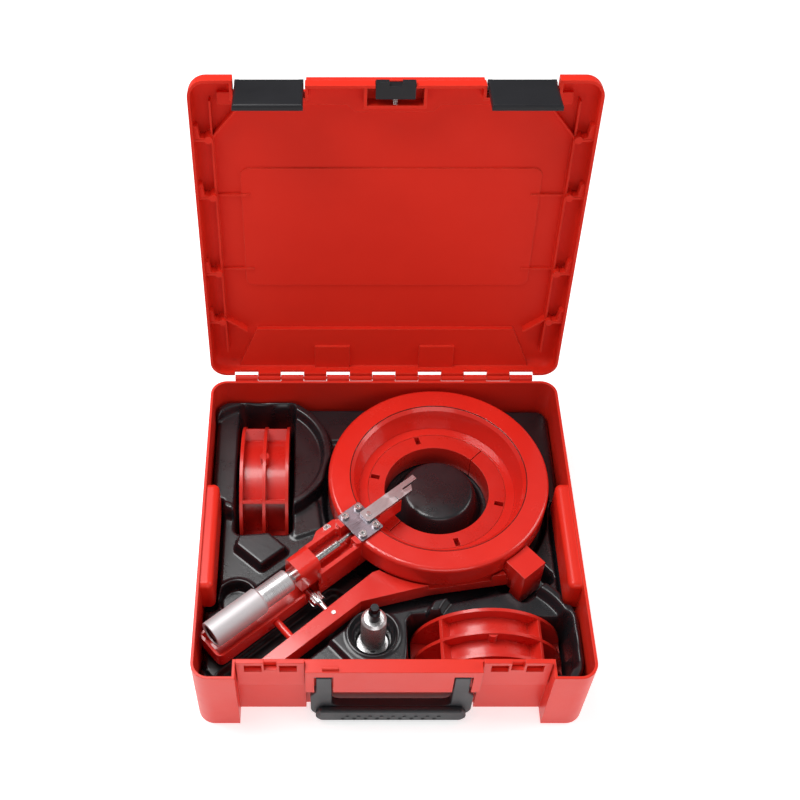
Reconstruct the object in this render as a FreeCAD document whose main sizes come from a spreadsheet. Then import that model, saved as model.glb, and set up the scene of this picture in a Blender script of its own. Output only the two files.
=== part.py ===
import FreeCAD, Part
import Sketcher
import math
import os
import re

# A pipe-cutting tool in its carrying case, in millimetres.
# Frame: +X to the right, +Y to the hinge side, +Z up. The origin is the middle of the case's underside.
# The lid stands open. Pieces of the lid are drawn as on a closed case and then swung open about the hinge.
# Pieces of the tool are drawn about the axis of its ring, with +X out along the arm, and then put in place.

Vector = FreeCAD.Vector
Rotation = FreeCAD.Rotation
Z_AXIS = Vector(0, 0, 1)
X_AXIS = Vector(1, 0, 0)

doc = FreeCAD.newDocument("pipe_cutter_kit")
sheet = doc.addObject("Spreadsheet::Sheet", "Sizes")

SIZES = {
    # case
    "case_width": 440,
    "case_depth": 412,
    "base_height": 115,
    "lid_height": 24,
    "lid_open": 98.4,
    "lid_gap": 0.4,
    "lid_crown": 14,
    "shell": 3.2,
    "corner_round": 20,
    "edge_reach": 1,
    "front_set": 6,
    "bay_depth": 14,
    "latch_place": 133.5,
    "bay_half": 38,
    "handle_bay_half": 96,
    "handle_bay_depth": 20,
    "well_depth": 15,
    "well_front": 88,
    "well_rear": 48,
    "well_floor": 62,
    "well_top": 108,
    "well_round": 7,
    # hinge
    "hinge_back": 4.6,
    "hinge_rise": 1,
    "knuckle_radius": 4,
    "knuckle_count": 13,
    "hinge_half": 190,
    "hinge_pin_radius": 1.8,
    "knuckle_gap": 0.5,
    "running_fit": 0.06,
    # keepers and front lip of the base
    "keeper_half": 36.8,
    "keeper_thick": 5.4,
    "keeper_low": 72,
    "keeper_rise": 8,
    "keeper_window": 19,
    "keeper_window_low": 103,
    "keeper_window_high": 118,
    "keeper_middle": 7,
    "seat_clearance": 0.5,
    "lip_low": 67,
    "lip_thick": 3.2,
    "notch_inner": 65.5,
    "notch_outer": 86.5,
    "notch_top": 104,
    "tab_width": 18,
    "tab_height": 4,
    # latches
    "latch_width": 73,
    "latch_thick": 6.5,
    "latch_reach": 40,
    "latch_head": 16,
    "latch_pin_radius": 2,
    "latch_pin_rise": 12,
    "latch_pin_back": 9.5,
    "latch_ear": 8,
    "latch_hook_depth": 4,
    # carry handle
    "handle_half": 91,
    "handle_low": 3,
    "handle_bar": 26,
    "handle_arm": 17,
    "handle_thick": 19,
    "handle_arm_thick": 11,
    "handle_pivot_drop": 19,
    "handle_pivot_back": 7.7,
    "handle_pin_radius": 3,
    "handle_wall": 3,
    # centre catch in the lid
    "catch_half": 21,
    "catch_deep": 16,
    "catch_tall": 11,
    "catch_horn": 4,
    "catch_window_half": 30,
    "catch_window_deep": 24,
    "spring_half": 9,
    "spring_leaf": 0.8,
    "spring_wide": 5,
    "spring_dip": 2,
    # lid inside
    "lid_rail": 199,
    "lid_rib": 2.2,
    "lid_rib_drop": 5,
    "panel_half": 170,
    "panel_front": 88,
    "panel_rear": 76,
    "panel_rise": 1.6,
    "panel_round": 10,
    "lid_step_rear": 142,
    "lid_step_drop": 6,
    "lid_slant": 26,
    "lid_tab_width": 44,
    "lid_tab_front": 168,
    "lid_band": 30,
    # insert tray
    "tray_gap": 0.8,
    "tray_skin": 2,
    "tray_top": 70,
    "tray_fit": 4,
    "wedge_top": 76,
    "dome_top": 78,
    "dome_head": 41,
    "dome_foot": 57,
    # tool: place and ring
    "tool_x": 62,
    "tool_y": 62,
    "arm_angle": 220,
    "rotor_radius": 133,
    "rotor_bore": 107,
    "rotor_low": 80,
    "rotor_top": 111,
    "rotor_round": 5,
    "liner_bore": 95,
    "liner_chamfer": 4,
    "rotor_float": 0.4,
    # clamp body
    "clamp_low": 46,
    "collar_radius": 91.4,
    "lip_bore": 84.4,
    "flange_radius": 127,
    "flange_thick": 9,
    "seat_depth": 2.2,
    "insert_radius": 88,
    "insert_boss": 84,
    "insert_bore": 64,
    "insert_fit": 0.05,
    "insert_slot_width": 6,
    "insert_slot_deep": 11,
    "slit": 1.2,
    "channel_start": 70,
    "channel_end": 341,
    "channel_half": 20,
    "channel_low": 60,
    "channel_top": 81.5,
    "channel_wall": 3.2,
    "lug_place": 147,
    "lug_half": 17,
    "lug_top": 99,
    "lug_low": 40,
    "jaw_pin_radius": 6,
    # swinging jaw and its lever
    "jaw_low": 49,
    "jaw_float": 0.4,
    "jaw_radius": 125,
    "jaw_start": 24,
    "lever_inner": 41,
    "lever_outer": 57.5,
    "lever_end": 304,
    "lever_low": 56,
    "lever_top": 80,
    "lever_web": 3.5,
    # clamping bolt
    "bolt_place": 206,
    "bolt_height": 68,
    "bolt_radius": 4,
    "bolt_eye": 6.5,
    "nut_radius": 8.5,
    "nut_length": 13,
    "bolt_pin_radius": 2.5,
    "bar_place": 260,
    "bar_radius": 4.5,
    # arm of the rotor
    "arm_offset": -9,
    "arm_start": 104,
    "arm_end": 190,
    "arm_half": 21,
    "arm_low": 82,
    "arm_floor": 90,
    "arm_top": 105,
    "arm_rail": 5,
    "lobe_half": 28,
    "lobe_start": 132,
    "lobe_end": 172,
    "block_length": 28,
    "block_half": 15,
    "block_low": 84,
    "block_top": 122,
    "block_round": 8,
    "spindle_height": 101,
    # blade slide, guide plate and blades
    "slide_half": 9,
    "slide_fit": 0.06,
    "slide_low": 92,
    "slide_top": 112,
    "slide_tail": 122,
    "slide_nose": 60,
    "slide_retract": 4,
    "plate_place": 117,
    "plate_length": 33,
    "plate_half": 22.5,
    "plate_thick": 2.5,
    "plate_screw_inset": 6.5,
    "screw_head": 4.6,
    "screw_head_tall": 4,
    "screw_shank": 2.5,
    "screw_deep": 9,
    "hex_socket": 2,
    "blade_half": 8.2,
    "blade_thick": 3.4,
    "blade_tail": 112,
    "blade_shoulder": 50,
    "blade_tip": 27,
    "prong_width": 7,
    "short_tip": 38,
    "blade_screw": 3,
    # spindle and grip
    "spindle_tip": 122,
    "spindle_thin": 4,
    "spindle_step": 150,
    "spindle_thick": 6.2,
    "neck_radius": 8.5,
    "neck_length": 8,
    "barrel_radius": 13.4,
    "barrel_start": 226,
    "barrel_end": 298,
    "sleeve_start": 266,
    "sleeve_end": 336,
    "sleeve_radius": 16,
    "cap_radius": 12.5,
    "cap_deep": 4,
    # spare reducing shells
    "spare_radius": 88,
    "spare_bore": 55,
    "spare_width": 60,
    "spare_wall": 4,
    "spare_fin": 4,
    "spare_seat": 8,
    "saddle_radius": 72,
    "saddle_start": 50,
    "spare_left_x": -150,
    "spare_left_y": 103,
    "spare_right_x": 113,
    "spare_right_y": -140,
    # drive adapter
    "adapter_x": -20,
    "adapter_y": -128,
    "adapter_seat": 36,
    "adapter_shank": 10,
    "adapter_collar": 18,
    "collar_low": 40,
    "collar_tall": 6,
    "adapter_radius": 14.3,
    "adapter_top": 106,
    "adapter_chamfer": 3,
    "adapter_well": 26,
    "bit_radius": 6.6,
    "bit_top": 130,
    "set_screw_radius": 3,
    "set_screw_rise": 12,
}

for row, (alias, number) in enumerate(SIZES.items(), start=1):
    sheet.set(f"A{row}", alias)
    sheet.set(f"B{row}", str(number))
    sheet.setAlias(f"B{row}", alias)
doc.recompute()

WORD = re.compile(r"[a-z][a-z_]+")
CORNER_EDGES = (1, 3, 5, 7)


def linked(formula):
    """The formula with each name of a size pointing at its cell in the sheet."""
    return WORD.sub(lambda word: f"Sizes.{word[0]}" if word[0] in SIZES else word[0], str(formula))


def bind(piece, **formulas):
    for prop, formula in formulas.items():
        piece.setExpression(prop.replace("__", "."), linked(formula))
    return piece


def read(alias):
    """A size read from the sheet, for what no expression can reach, such as a fillet."""
    return float(sheet.get(alias))


def place(piece, x=None, y=None, z=None):
    for axis, formula in (("x", x), ("y", y), ("z", z)):
        if formula is not None:
            piece.setExpression(f"Placement.Base.{axis}", linked(formula))
    return piece


def box(name, x, y, z):
    """A block between two formulas along each axis."""
    piece = doc.addObject("Part::Box", name)
    bind(piece, Length=f"({x[1]}) - ({x[0]})", Width=f"({y[1]}) - ({y[0]})", Height=f"({z[1]}) - ({z[0]})")
    return place(piece, x[0], y[0], z[0])


def drum(name, radius, z, x="0", y="0", angle="360"):
    """An upright cylinder between two heights."""
    piece = doc.addObject("Part::Cylinder", name)
    bind(piece, Radius=radius, Height=f"({z[1]}) - ({z[0]})", Angle=angle)
    return place(piece, x, y, z[0])


def rod(name, radius, along, span, first, second):
    """A level cylinder along x or y. The other two places are given in the order x, y, z."""
    piece = doc.addObject("Part::Cylinder", name)
    bind(piece, Radius=radius, Height=f"({span[1]}) - ({span[0]})")
    if along == "x":
        piece.Placement = FreeCAD.Placement(Vector(), Rotation(Vector(0, 1, 0), 90))
        return place(piece, span[0], first, second)
    piece.Placement = FreeCAD.Placement(Vector(), Rotation(X_AXIS, -90))
    return place(piece, first, span[0], second)


def cone(name, foot, head, z, x="0", y="0"):
    piece = doc.addObject("Part::Cone", name)
    bind(piece, Radius1=foot, Radius2=head, Height=f"({z[1]}) - ({z[0]})")
    return place(piece, x, y, z[0])


def group(name, pieces):
    piece = doc.addObject("Part::Compound", name)
    piece.Links = pieces
    return piece


def fused(name, pieces):
    if len(pieces) == 1:
        return group(name, pieces)
    piece = doc.addObject("Part::MultiFuse", name)
    piece.Shapes = pieces
    piece.Refine = True
    return piece


def cut(name, base, tools):
    piece = doc.addObject("Part::Cut", name)
    piece.Base = base
    piece.Tool = tools[0] if len(tools) == 1 else fused(f"{name}_tools", tools)
    piece.Refine = True
    return piece


def rounded(name, base, radius, wanted):
    """Rounds the edges that wanted() picks."""
    doc.recompute()
    picked = [i for i, edge in enumerate(base.Shape.Edges, start=1) if wanted(edge)]
    piece = doc.addObject("Part::Fillet", name)
    piece.Base = base
    piece.Edges = [(i, radius, radius) for i in picked]
    return piece


def rounded_box(name, x, y, z, radius):
    """A block with its four upright edges rounded."""
    piece = doc.addObject("Part::Fillet", name)
    piece.Base = box(f"{name}_block", x, y, z)
    piece.Edges = [(i, radius, radius) for i in CORNER_EDGES]
    return piece


def sketch_in(body, plane, points):
    """A closed outline in a plane of the body, each corner held by two named distances."""
    sketch = body.newObject("Sketcher::SketchObject", f"{body.Name}_outline")
    origin_plane = next(f for f in body.Origin.OriginFeatures if f.Role == plane)
    sketch.AttachmentSupport = [(origin_plane, "")]
    sketch.MapMode = "FlatFace"
    count = len(points)
    start = [Vector(10 * math.cos(6.28 * i / count) + 20, 10 * math.sin(6.28 * i / count), 0) for i in range(count)]
    for i in range(count):
        sketch.addGeometry(Part.LineSegment(start[i], start[(i + 1) % count]), False)
    for i in range(count):
        sketch.addConstraint(Sketcher.Constraint("Coincident", i, 2, (i + 1) % count, 1))
    for i, corner in enumerate(points):
        for kind, letter, formula, value in (
            ("DistanceX", "across", corner[0], start[i].x),
            ("DistanceY", "up", corner[1], start[i].y),
        ):
            index = sketch.addConstraint(Sketcher.Constraint(kind, -1, 1, i, 1, value))
            sketch.renameConstraint(index, f"{letter}{i}")
            sketch.setExpression(f"Constraints.{letter}{i}", linked(formula))
    return sketch


def turned(name, points):
    """A body turned about the Z axis from an outline of (radius, height) corners."""
    body = doc.addObject("PartDesign::Body", name)
    sketch = sketch_in(body, "XZ_Plane", points)
    turn = body.newObject("PartDesign::Revolution", f"{name}_turn")
    turn.Profile = sketch
    turn.ReferenceAxis = (sketch, ["V_Axis"])
    turn.Angle = 360
    body.Tip = turn
    return body


def slab(name, points, z):
    """A plate between two heights from an outline of (x, y) corners."""
    body = doc.addObject("PartDesign::Body", name)
    sketch = sketch_in(body, "XY_Plane", points)
    pad = body.newObject("PartDesign::Pad", f"{name}_pad")
    pad.Profile = sketch
    bind(pad, Length=f"({z[1]}) - ({z[0]})")
    body.Tip = pad
    return place(body, z=z[0])


def lie_along_arm(body, start):
    """Turns a body made about Z so that it runs out along the arm from a place on it, at spindle height."""
    body.Placement = FreeCAD.Placement(Vector(), Rotation(Vector(0, 1, 0), 90))
    return place(body, start, "arm_offset", "spindle_height")


def on_tool(piece, turn="0"):
    """Moves a piece drawn about the ring's axis to the tool's place in the case."""
    piece.Placement = FreeCAD.Placement(piece.Placement.Base, Rotation(Z_AXIS, 1))
    bind(piece, Placement__Rotation__Angle=f"arm_angle + ({turn})")
    return place(piece, "tool_x", "tool_y")


def swung_open(piece):
    """Swings a piece of the closed lid open about the hinge."""
    piece.Placement = FreeCAD.Placement(Vector(), Rotation(Vector(-1, 0, 0), 1))
    bind(piece, Placement__Rotation__Angle="lid_open")
    return place(
        piece,
        y=f"({HINGE_Y}) * (1 - cos(lid_open)) - ({HINGE_Z}) * sin(lid_open)",
        z=f"({HINGE_Z}) * (1 - cos(lid_open)) + ({HINGE_Y}) * sin(lid_open)",
    )


NODES = {}


def node(name, piece):
    piece.Label = name
    NODES[name] = piece
    return piece


# Places that several pieces share
HINGE_Y = "case_depth / 2 + hinge_back"
HINGE_Z = "base_height + hinge_rise"
CORNER_FRONT = "-case_depth / 2"
FRONT = "-case_depth / 2 + front_set"
BAY_WALL = "-case_depth / 2 + front_set + bay_depth"
RIM = "base_height"
LID_LOW = "base_height + lid_gap"
LID_TOP = "base_height + lid_gap + lid_height"
LID_CEILING = "base_height + lid_gap + lid_height - shell"
SIDES = {"left": "-", "right": ""}


def mirrored_span(sign, inner, outer):
    """A span on one side of the middle plane, low end first."""
    if sign:
        return (f"-({outer})", f"-({inner})")
    return (inner, outer)


# ---------------------------------------------------------------- case
def front_bays(name, inset, low, high, with_handle):
    """The spaces in front of the case, grown by the inset: two for latches and one between them.

    In the base the middle one takes the handle and is deeper below the front lip."""
    bays = []
    start = f"{CORNER_FRONT} - edge_reach"
    for side, sign in SIDES.items():
        x = mirrored_span(sign, f"latch_place - bay_half - ({inset})", f"latch_place + bay_half + ({inset})")
        bays.append(box(f"{name}_bay_{side}", x, (start, f"{BAY_WALL} + ({inset})"), (low, high)))
    x = (f"-handle_bay_half - ({inset})", f"handle_bay_half + ({inset})")
    middle_wall = BAY_WALL if with_handle else FRONT
    bays.append(box(f"{name}_bay_middle", x, (start, f"{middle_wall} + ({inset})"), (low, high)))
    if with_handle:
        y = (start, f"{FRONT} + handle_bay_depth + ({inset})")
        bays.append(box(f"{name}_handle_bay", x, y, (low, f"lip_low + ({inset})")))
    return bays


def hand_wells(name, inset):
    """The hand wells in the two sides of the base, grown by the inset."""
    wells = []
    for side, sign in SIDES.items():
        x = mirrored_span(sign, f"case_width / 2 - well_depth - ({inset})", "case_width / 2 + edge_reach")
        y = (f"-well_front - ({inset})", f"well_rear + ({inset})")
        z = (f"well_floor - ({inset})", f"well_top + ({inset})")
        well = box(f"{name}_well_block_{side}", x, y, z)
        wells.append(rounded(
            f"{name}_well_{side}", well, read("well_round"),
            lambda edge: abs(edge.CenterOfMass.x) < read("case_width") / 2,
        ))
    return wells


INSET_ROUND = {
    "0": read("corner_round"),
    "shell": read("corner_round") - read("shell"),
    "shell + tray_gap": read("corner_round") - read("shell") - read("tray_gap"),
    "shell + tray_gap + tray_skin": read("corner_round") - read("shell") - read("tray_gap") - read("tray_skin"),
}


def case_block(name, inset, low, high, with_handle=True, with_wells=True):
    """The case's plan, moved in by the inset, between two heights."""
    x = (f"-case_width / 2 + ({inset})", f"case_width / 2 - ({inset})")
    y = (f"-case_depth / 2 + ({inset})", f"case_depth / 2 - ({inset})")
    block = rounded_box(f"{name}_plan", x, y, (low, high), INSET_ROUND[inset])
    tools = front_bays(name, inset, f"{low} - edge_reach", f"{high} + edge_reach", with_handle)
    if with_wells:
        tools += hand_wells(name, inset)
    return cut(name, block, tools)


def knuckle_span(index):
    step = "(2 * hinge_half / knuckle_count)"
    return (
        f"-hinge_half + {index} * {step} + knuckle_gap / 2",
        f"-hinge_half + {index + 1} * {step} - knuckle_gap / 2",
    )


def knuckles(name, indices, web):
    """Hinge barrels, each with a web that joins it to its shell."""
    pieces = []
    for i in indices:
        span = knuckle_span(i)
        pieces.append(rod(f"{name}_barrel_{i}", "knuckle_radius", "x", span, HINGE_Y, HINGE_Z))
        y = ("case_depth / 2 - shell / 2", HINGE_Y)
        pieces.append(box(f"{name}_web_{i}", span, y, web))
    return pieces


def make_base():
    outer = case_block("base_outer", "0", "0", RIM)
    inner = case_block("base_inner", "shell", "shell", f"{RIM} + edge_reach")
    pieces = [cut("base_shell", outer, [inner])]
    pieces += knuckles("base", range(0, int(read("knuckle_count")), 2), (f"{RIM} - shell", f"{HINGE_Z} - 1"))
    for side, sign in SIDES.items():
        pieces += make_keeper(side, sign)
    pieces += make_front_lip()
    solid = fused("base_solid", pieces)
    bores = [rod("base_hinge_bore", "hinge_pin_radius", "x", ("-hinge_half", "hinge_half"), HINGE_Y, HINGE_Z)]
    bores += handle_notches()
    node("case_base", cut("case_base_body", solid, bores))


def make_keeper(side, sign):
    """The catch plate of a latch: a wall in front of the rim with two windows and a gap in its middle."""
    y = (f"{BAY_WALL} - seat_clearance - keeper_thick", f"{BAY_WALL} - seat_clearance")
    x = mirrored_span(sign, "latch_place - keeper_half", "latch_place + keeper_half")
    plate = box(f"keeper_plate_{side}", x, y, ("keeper_low", f"{RIM} + keeper_rise"))
    windows = []
    for hand in ("-", "+"):
        middle = f"{sign}latch_place {hand} keeper_window"
        window_x = (f"{middle} - keeper_window / 2", f"{middle} + keeper_window / 2")
        windows.append(box(
            f"keeper_window_{side}_{len(windows)}", window_x, (f"{y[0]} - 1", f"{y[1]} + 1"),
            ("keeper_window_low", "keeper_window_high"),
        ))
    gap_x = (f"{sign}latch_place - keeper_middle", f"{sign}latch_place + keeper_middle")
    windows.append(box(
        f"keeper_gap_{side}", gap_x, (f"{y[0]} - 1", f"{y[1]} + 1"), (f"{RIM} - keeper_rise", f"{RIM} + keeper_rise + 1"),
    ))
    foot_y = (y[0], f"{BAY_WALL} + shell / 2")
    foot = box(f"keeper_foot_{side}", x, foot_y, ("keeper_low", "keeper_low + shell"))
    ribs = []
    for hand in ("-", "+"):
        middle = f"{sign}latch_place {hand} (keeper_half - shell / 2)"
        rib_x = (f"{middle} - shell / 2", f"{middle} + shell / 2")
        ribs.append(box(f"keeper_rib_{side}_{len(ribs)}", rib_x, foot_y, ("keeper_low", f"{RIM} - lid_gap")))
    return [cut(f"keeper_{side}", plate, windows), foot] + ribs


def make_front_lip():
    """The lip over the handle bay, with a bearing rib at each side of both handle arms."""
    y = (f"{FRONT} + edge_reach", f"{BAY_WALL} + shell / 2")
    x = ("-handle_bay_half", "handle_bay_half")
    face = box("lip_face", x, (y[0], f"{y[0]} + lip_thick"), ("lip_low", RIM))
    cover = box("lip_cover", x, y, (f"{RIM} - lip_thick", RIM))
    pieces = [face, cover]
    for side, sign in SIDES.items():
        for where, inner in (("inner", "notch_inner - lip_thick"), ("outer", "notch_outer")):
            rib_x = mirrored_span(sign, inner, f"{inner} + lip_thick")
            pieces.append(box(f"lip_rib_{side}_{where}", rib_x, y, (f"{RIM} - 1.6 * handle_pivot_drop", RIM)))
    tab_x = ("-handle_bay_half + tab_width", "-handle_bay_half + 2 * tab_width")
    tab_y = (f"{FRONT} + shell + seat_clearance", f"{FRONT} + 2 * shell + seat_clearance")
    pieces.append(box("lip_tab", tab_x, tab_y, (f"{RIM} - edge_reach", f"{RIM} + tab_height")))
    return pieces


def handle_notches():
    notches = []
    for side, sign in SIDES.items():
        x = mirrored_span(sign, "notch_inner", "notch_outer")
        y = (f"{FRONT} - edge_reach", f"{FRONT} + edge_reach + 2 * lip_thick")
        notches.append(box(f"notch_{side}", x, y, ("lip_low - 1", "notch_top")))
        bore_x = mirrored_span(sign, "notch_inner - lip_thick - 1", "notch_outer + lip_thick + 1")
        notches.append(rod(f"handle_bore_{side}", "handle_pin_radius", "x", bore_x, HANDLE_Y, HANDLE_Z))
    return notches


HANDLE_Y = f"{FRONT} + handle_pivot_back"
HANDLE_Z = f"{RIM} - handle_pivot_drop"


def make_handle():
    """The carry handle hangs in front of the case: a hollow bar between two arms."""
    y = (f"{CORNER_FRONT} + edge_reach", f"{CORNER_FRONT} + edge_reach + handle_thick")
    bar = rounded_box(
        "handle_bar_block", ("-handle_half", "handle_half"), y, ("handle_low", "handle_low + handle_bar"), 6,
    )
    hollow = box(
        "handle_hollow", ("-handle_half + handle_arm + handle_wall", "handle_half - handle_arm - handle_wall"),
        (f"{y[0]} + handle_wall", f"{y[1]} - handle_wall"), ("handle_low + handle_wall", "handle_low + handle_bar + 1"),
    )
    shell = cut("handle_shell", bar, [hollow])
    pieces = [shell]
    for i in range(9):
        middle = f"(handle_half - handle_arm) * ({i} - 4) / 4.5"
        x = (f"{middle} - handle_wall / 4", f"{middle} + handle_wall / 4")
        rib_y = (f"{y[0]} + handle_wall / 2", f"{y[1]} - handle_wall / 2")
        pieces.append(box(f"handle_rib_{i}", x, rib_y, ("handle_low + handle_wall / 2", "handle_low + handle_bar - 5")))
    arm_y = (f"{HANDLE_Y} - handle_arm_thick / 2", f"{HANDLE_Y} + handle_arm_thick / 2")
    bores = []
    for side, sign in SIDES.items():
        x = mirrored_span(sign, "notch_outer - 2 - handle_arm", "notch_outer - 2")
        pieces.append(box(f"handle_arm_{side}", x, arm_y, ("handle_low + handle_bar / 2", HANDLE_Z)))
        pieces.append(rod(f"handle_eye_{side}", "handle_arm_thick / 2", "x", x, HANDLE_Y, HANDLE_Z))
        x_bore = mirrored_span(sign, "notch_inner - 1", "notch_outer + 1")
        bores.append(rod(f"handle_hole_{side}", "handle_pin_radius + running_fit", "x", x_bore, HANDLE_Y, HANDLE_Z))
        pin_x = mirrored_span(sign, "notch_inner - lip_thick", "notch_outer + lip_thick")
        node(f"handle_pin_{side}", rod(f"pin_handle_{side}", "handle_pin_radius", "x", pin_x, HANDLE_Y, HANDLE_Z))
    node("carry_handle", cut("carry_handle_body", fused("handle_solid", pieces), bores))


def make_hinge_pin():
    span = ("-hinge_half", "hinge_half")
    node("hinge_pin", rod("hinge_pin_rod", "hinge_pin_radius", "x", span, HINGE_Y, HINGE_Z))


# ---------------------------------------------------------------- lid
LATCH_PIN_Y = f"{FRONT} + latch_pin_back"
LATCH_PIN_Z = f"{LID_LOW} + latch_pin_rise"
CATCH_BACK = f"{FRONT} + catch_deep"
CATCH_SEAT = f"{FRONT} + catch_window_deep"


def make_lid():
    outer = case_block("lid_outer", "0", LID_LOW, LID_TOP, with_handle=False, with_wells=False)
    top_z = read("base_height") + read("lid_gap") + read("lid_height")
    crown = rounded("lid_crown_round", outer, read("lid_crown"), lambda edge: edge.BoundBox.ZMin > top_z - 0.1)
    inner = case_block("lid_inner", "shell", f"{LID_LOW} - edge_reach", LID_CEILING, False, False)
    ceiling_z = top_z - read("shell")
    hollow = rounded(
        "lid_hollow", inner, read("lid_crown") - read("shell"), lambda edge: edge.BoundBox.ZMin > ceiling_z - 0.1,
    )
    pieces = [cut("lid_shell", crown, [hollow])]
    pieces += knuckles("lid", range(1, int(read("knuckle_count")), 2), (f"{HINGE_Z} + 1", f"{LID_LOW} + 2 * shell"))
    pieces += lid_ribs() + lid_front_band() + latch_ears()
    pieces.append(rounded_box(
        "lid_panel", ("-panel_half", "panel_half"), ("-panel_front", "panel_rear"),
        (f"{LID_CEILING} - panel_rise", f"{LID_CEILING} + 1"), read("panel_round"),
    ))
    pieces += lid_rear_step()
    solid = fused("lid_solid", pieces)
    tools = lid_openings()
    node("case_lid", swung_open(cut("case_lid_body", solid, tools)))


def lid_ribs():
    """Rails beside both side walls, tied to them by cross ribs."""
    ribs = []
    z = (f"{LID_LOW} + lid_rib_drop", f"{LID_CEILING} + 1")
    for side, sign in SIDES.items():
        x = mirrored_span(sign, "lid_rail - lid_rib", "lid_rail")
        y = ("-case_depth / 2 + lid_band", "case_depth / 2 - lid_band")
        ribs.append(box(f"lid_rail_{side}", x, y, (f"{LID_CEILING} - 2 * lid_rib_drop", f"{LID_CEILING} + 1")))
        cross_x = mirrored_span(sign, "lid_rail - 1", "case_width / 2 - shell / 2")
        for i, share in enumerate((-0.32, -0.14, 0.12, 0.3)):
            middle = f"case_depth * {share}"
            cross_y = (f"{middle} - lid_rib / 2", f"{middle} + lid_rib / 2")
            ribs.append(box(f"lid_cross_{side}_{i}", cross_x, cross_y, z))
            ribs.append(drum(f"lid_boss_{side}_{i}", "2 * lid_rib", z, f"{sign}(lid_rail + lid_rib)", middle))
        tie_x = mirrored_span(sign, "panel_half - panel_round", "lid_rail - 1")
        for i, share in enumerate((-0.13, 0.123)):
            middle = f"case_depth * {share}"
            tie_y = (f"{middle} - lid_rib / 2", f"{middle} + lid_rib / 2")
            tie_z = (f"{LID_CEILING} - 2 * panel_rise", f"{LID_CEILING} + 1")
            ribs.append(box(f"lid_tie_{side}_{i}", tie_x, tie_y, tie_z))
    return ribs


def lid_rear_step():
    """The step beside the hinge, slanted at its ends, with two tabs on it."""
    top = f"{LID_CEILING} + 1"
    rear = "case_depth / 2 - shell / 2"
    pieces = [slab("lid_step", [
        ("-lid_rail + lid_slant / 2", rear), ("-lid_rail + 3 * lid_slant / 2", "lid_step_rear"),
        ("lid_rail - 3 * lid_slant / 2", "lid_step_rear"), ("lid_rail - lid_slant / 2", rear),
    ], (f"{LID_CEILING} - lid_step_drop", top))]
    tab_y = ("lid_tab_front", rear)
    tab_z = (f"{LID_CEILING} - 3 * lid_step_drop / 2", top)
    for side, sign in SIDES.items():
        x = mirrored_span(sign, "lid_tab_width", "2 * lid_tab_width")
        pieces.append(box(f"lid_tab_{side}", x, tab_y, tab_z))
    return pieces


def lid_front_band():
    """The shelf behind the front wall of the lid, wider in the middle, and the walls of the catch's box."""
    z = (f"{LID_CEILING} - lid_step_drop", f"{LID_CEILING} + 1")
    x = ("-case_width / 2 + lid_band", "case_width / 2 - lid_band")
    band = box("lid_band_block", x, (f"{BAY_WALL} + shell / 2", f"{FRONT} + lid_band"), z)
    front_x = ("-latch_place + bay_half + 1", "latch_place - bay_half - 1")
    front = box("lid_band_front", front_x, (f"{FRONT} + shell / 2", f"{BAY_WALL} + shell"), z)
    wide = "catch_window_half + 4 * lid_step_drop"
    narrow = "catch_window_half + 2 * lid_step_drop"
    middle = slab("lid_band_middle", [
        (f"-({wide})", f"{FRONT} + 0.9 * lid_band"), (f"-({narrow})", f"{FRONT} + 1.3 * lid_band"),
        (narrow, f"{FRONT} + 1.3 * lid_band"), (wide, f"{FRONT} + 0.9 * lid_band"),
        (wide, f"{BAY_WALL} + shell / 2"), (f"-({wide})", f"{BAY_WALL} + shell / 2"),
    ], z)
    wall_z = (f"{LID_LOW} + 1", f"{LID_CEILING} + 1")
    wall_x = ("-catch_window_half - shell", "catch_window_half + shell")
    walls = [box("catch_wall_back", wall_x, (CATCH_SEAT, f"{CATCH_SEAT} + shell"), wall_z)]
    for side, sign in SIDES.items():
        side_x = mirrored_span(sign, "catch_window_half", "catch_window_half + shell")
        walls.append(box(f"catch_wall_{side}", side_x, (f"{FRONT} + shell / 2", f"{CATCH_SEAT} + 1"), wall_z))
    return [band, front, middle] + walls


def latch_ears():
    """Ears on the lid that carry the latch pins."""
    ears = []
    for side, sign in SIDES.items():
        for hand in ("-", "+"):
            middle = f"{sign}latch_place {hand} latch_width / 4"
            x = (f"{middle} - latch_ear / 2", f"{middle} + latch_ear / 2")
            y = (f"{LATCH_PIN_Y} - 1.6 * latch_pin_radius", f"{BAY_WALL} + shell / 2")
            z = (f"{LATCH_PIN_Z} - 1.8 * latch_pin_radius", f"{LATCH_PIN_Z} + 1.8 * latch_pin_radius")
            ears.append(box(f"latch_ear_{side}_{len(ears)}", x, y, z))
    return ears


def lid_openings():
    """Room for the base's hinge barrels, the hinge pin, the latch pins and the catch."""
    tools = []
    for i in range(0, int(read("knuckle_count")), 2):
        low, high = knuckle_span(i)
        x = (f"{low} - knuckle_gap", f"{high} + knuckle_gap")
        y = ("case_depth / 2 - 3 * shell / 2", f"{HINGE_Y} + knuckle_radius")
        tools.append(box(f"lid_relief_{i}", x, y, (f"{LID_LOW} - 1", f"{HINGE_Z} + 1.5 * knuckle_radius")))
    span = ("-hinge_half", "hinge_half")
    tools.append(rod("lid_hinge_bore", "hinge_pin_radius + running_fit", "x", span, HINGE_Y, HINGE_Z))
    for side, sign in SIDES.items():
        span = mirrored_span(sign, "latch_place - bay_half", "latch_place + bay_half")
        tools.append(rod(f"latch_bore_{side}", "latch_pin_radius", "x", span, LATCH_PIN_Y, LATCH_PIN_Z))
    x = ("-catch_half - seat_clearance", "catch_half + seat_clearance")
    y = (f"{FRONT} - 1", CATCH_SEAT)
    tools.append(box("catch_room", x, y, (f"{LID_LOW} - 1", f"{LID_LOW} + catch_tall + seat_clearance")))
    x = ("-catch_window_half", "catch_window_half")
    y = (f"{FRONT} + shell", CATCH_SEAT)
    tools.append(box("catch_window", x, y, (f"{LID_LOW} - 1", f"{LID_CEILING} - shell")))
    return tools


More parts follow.
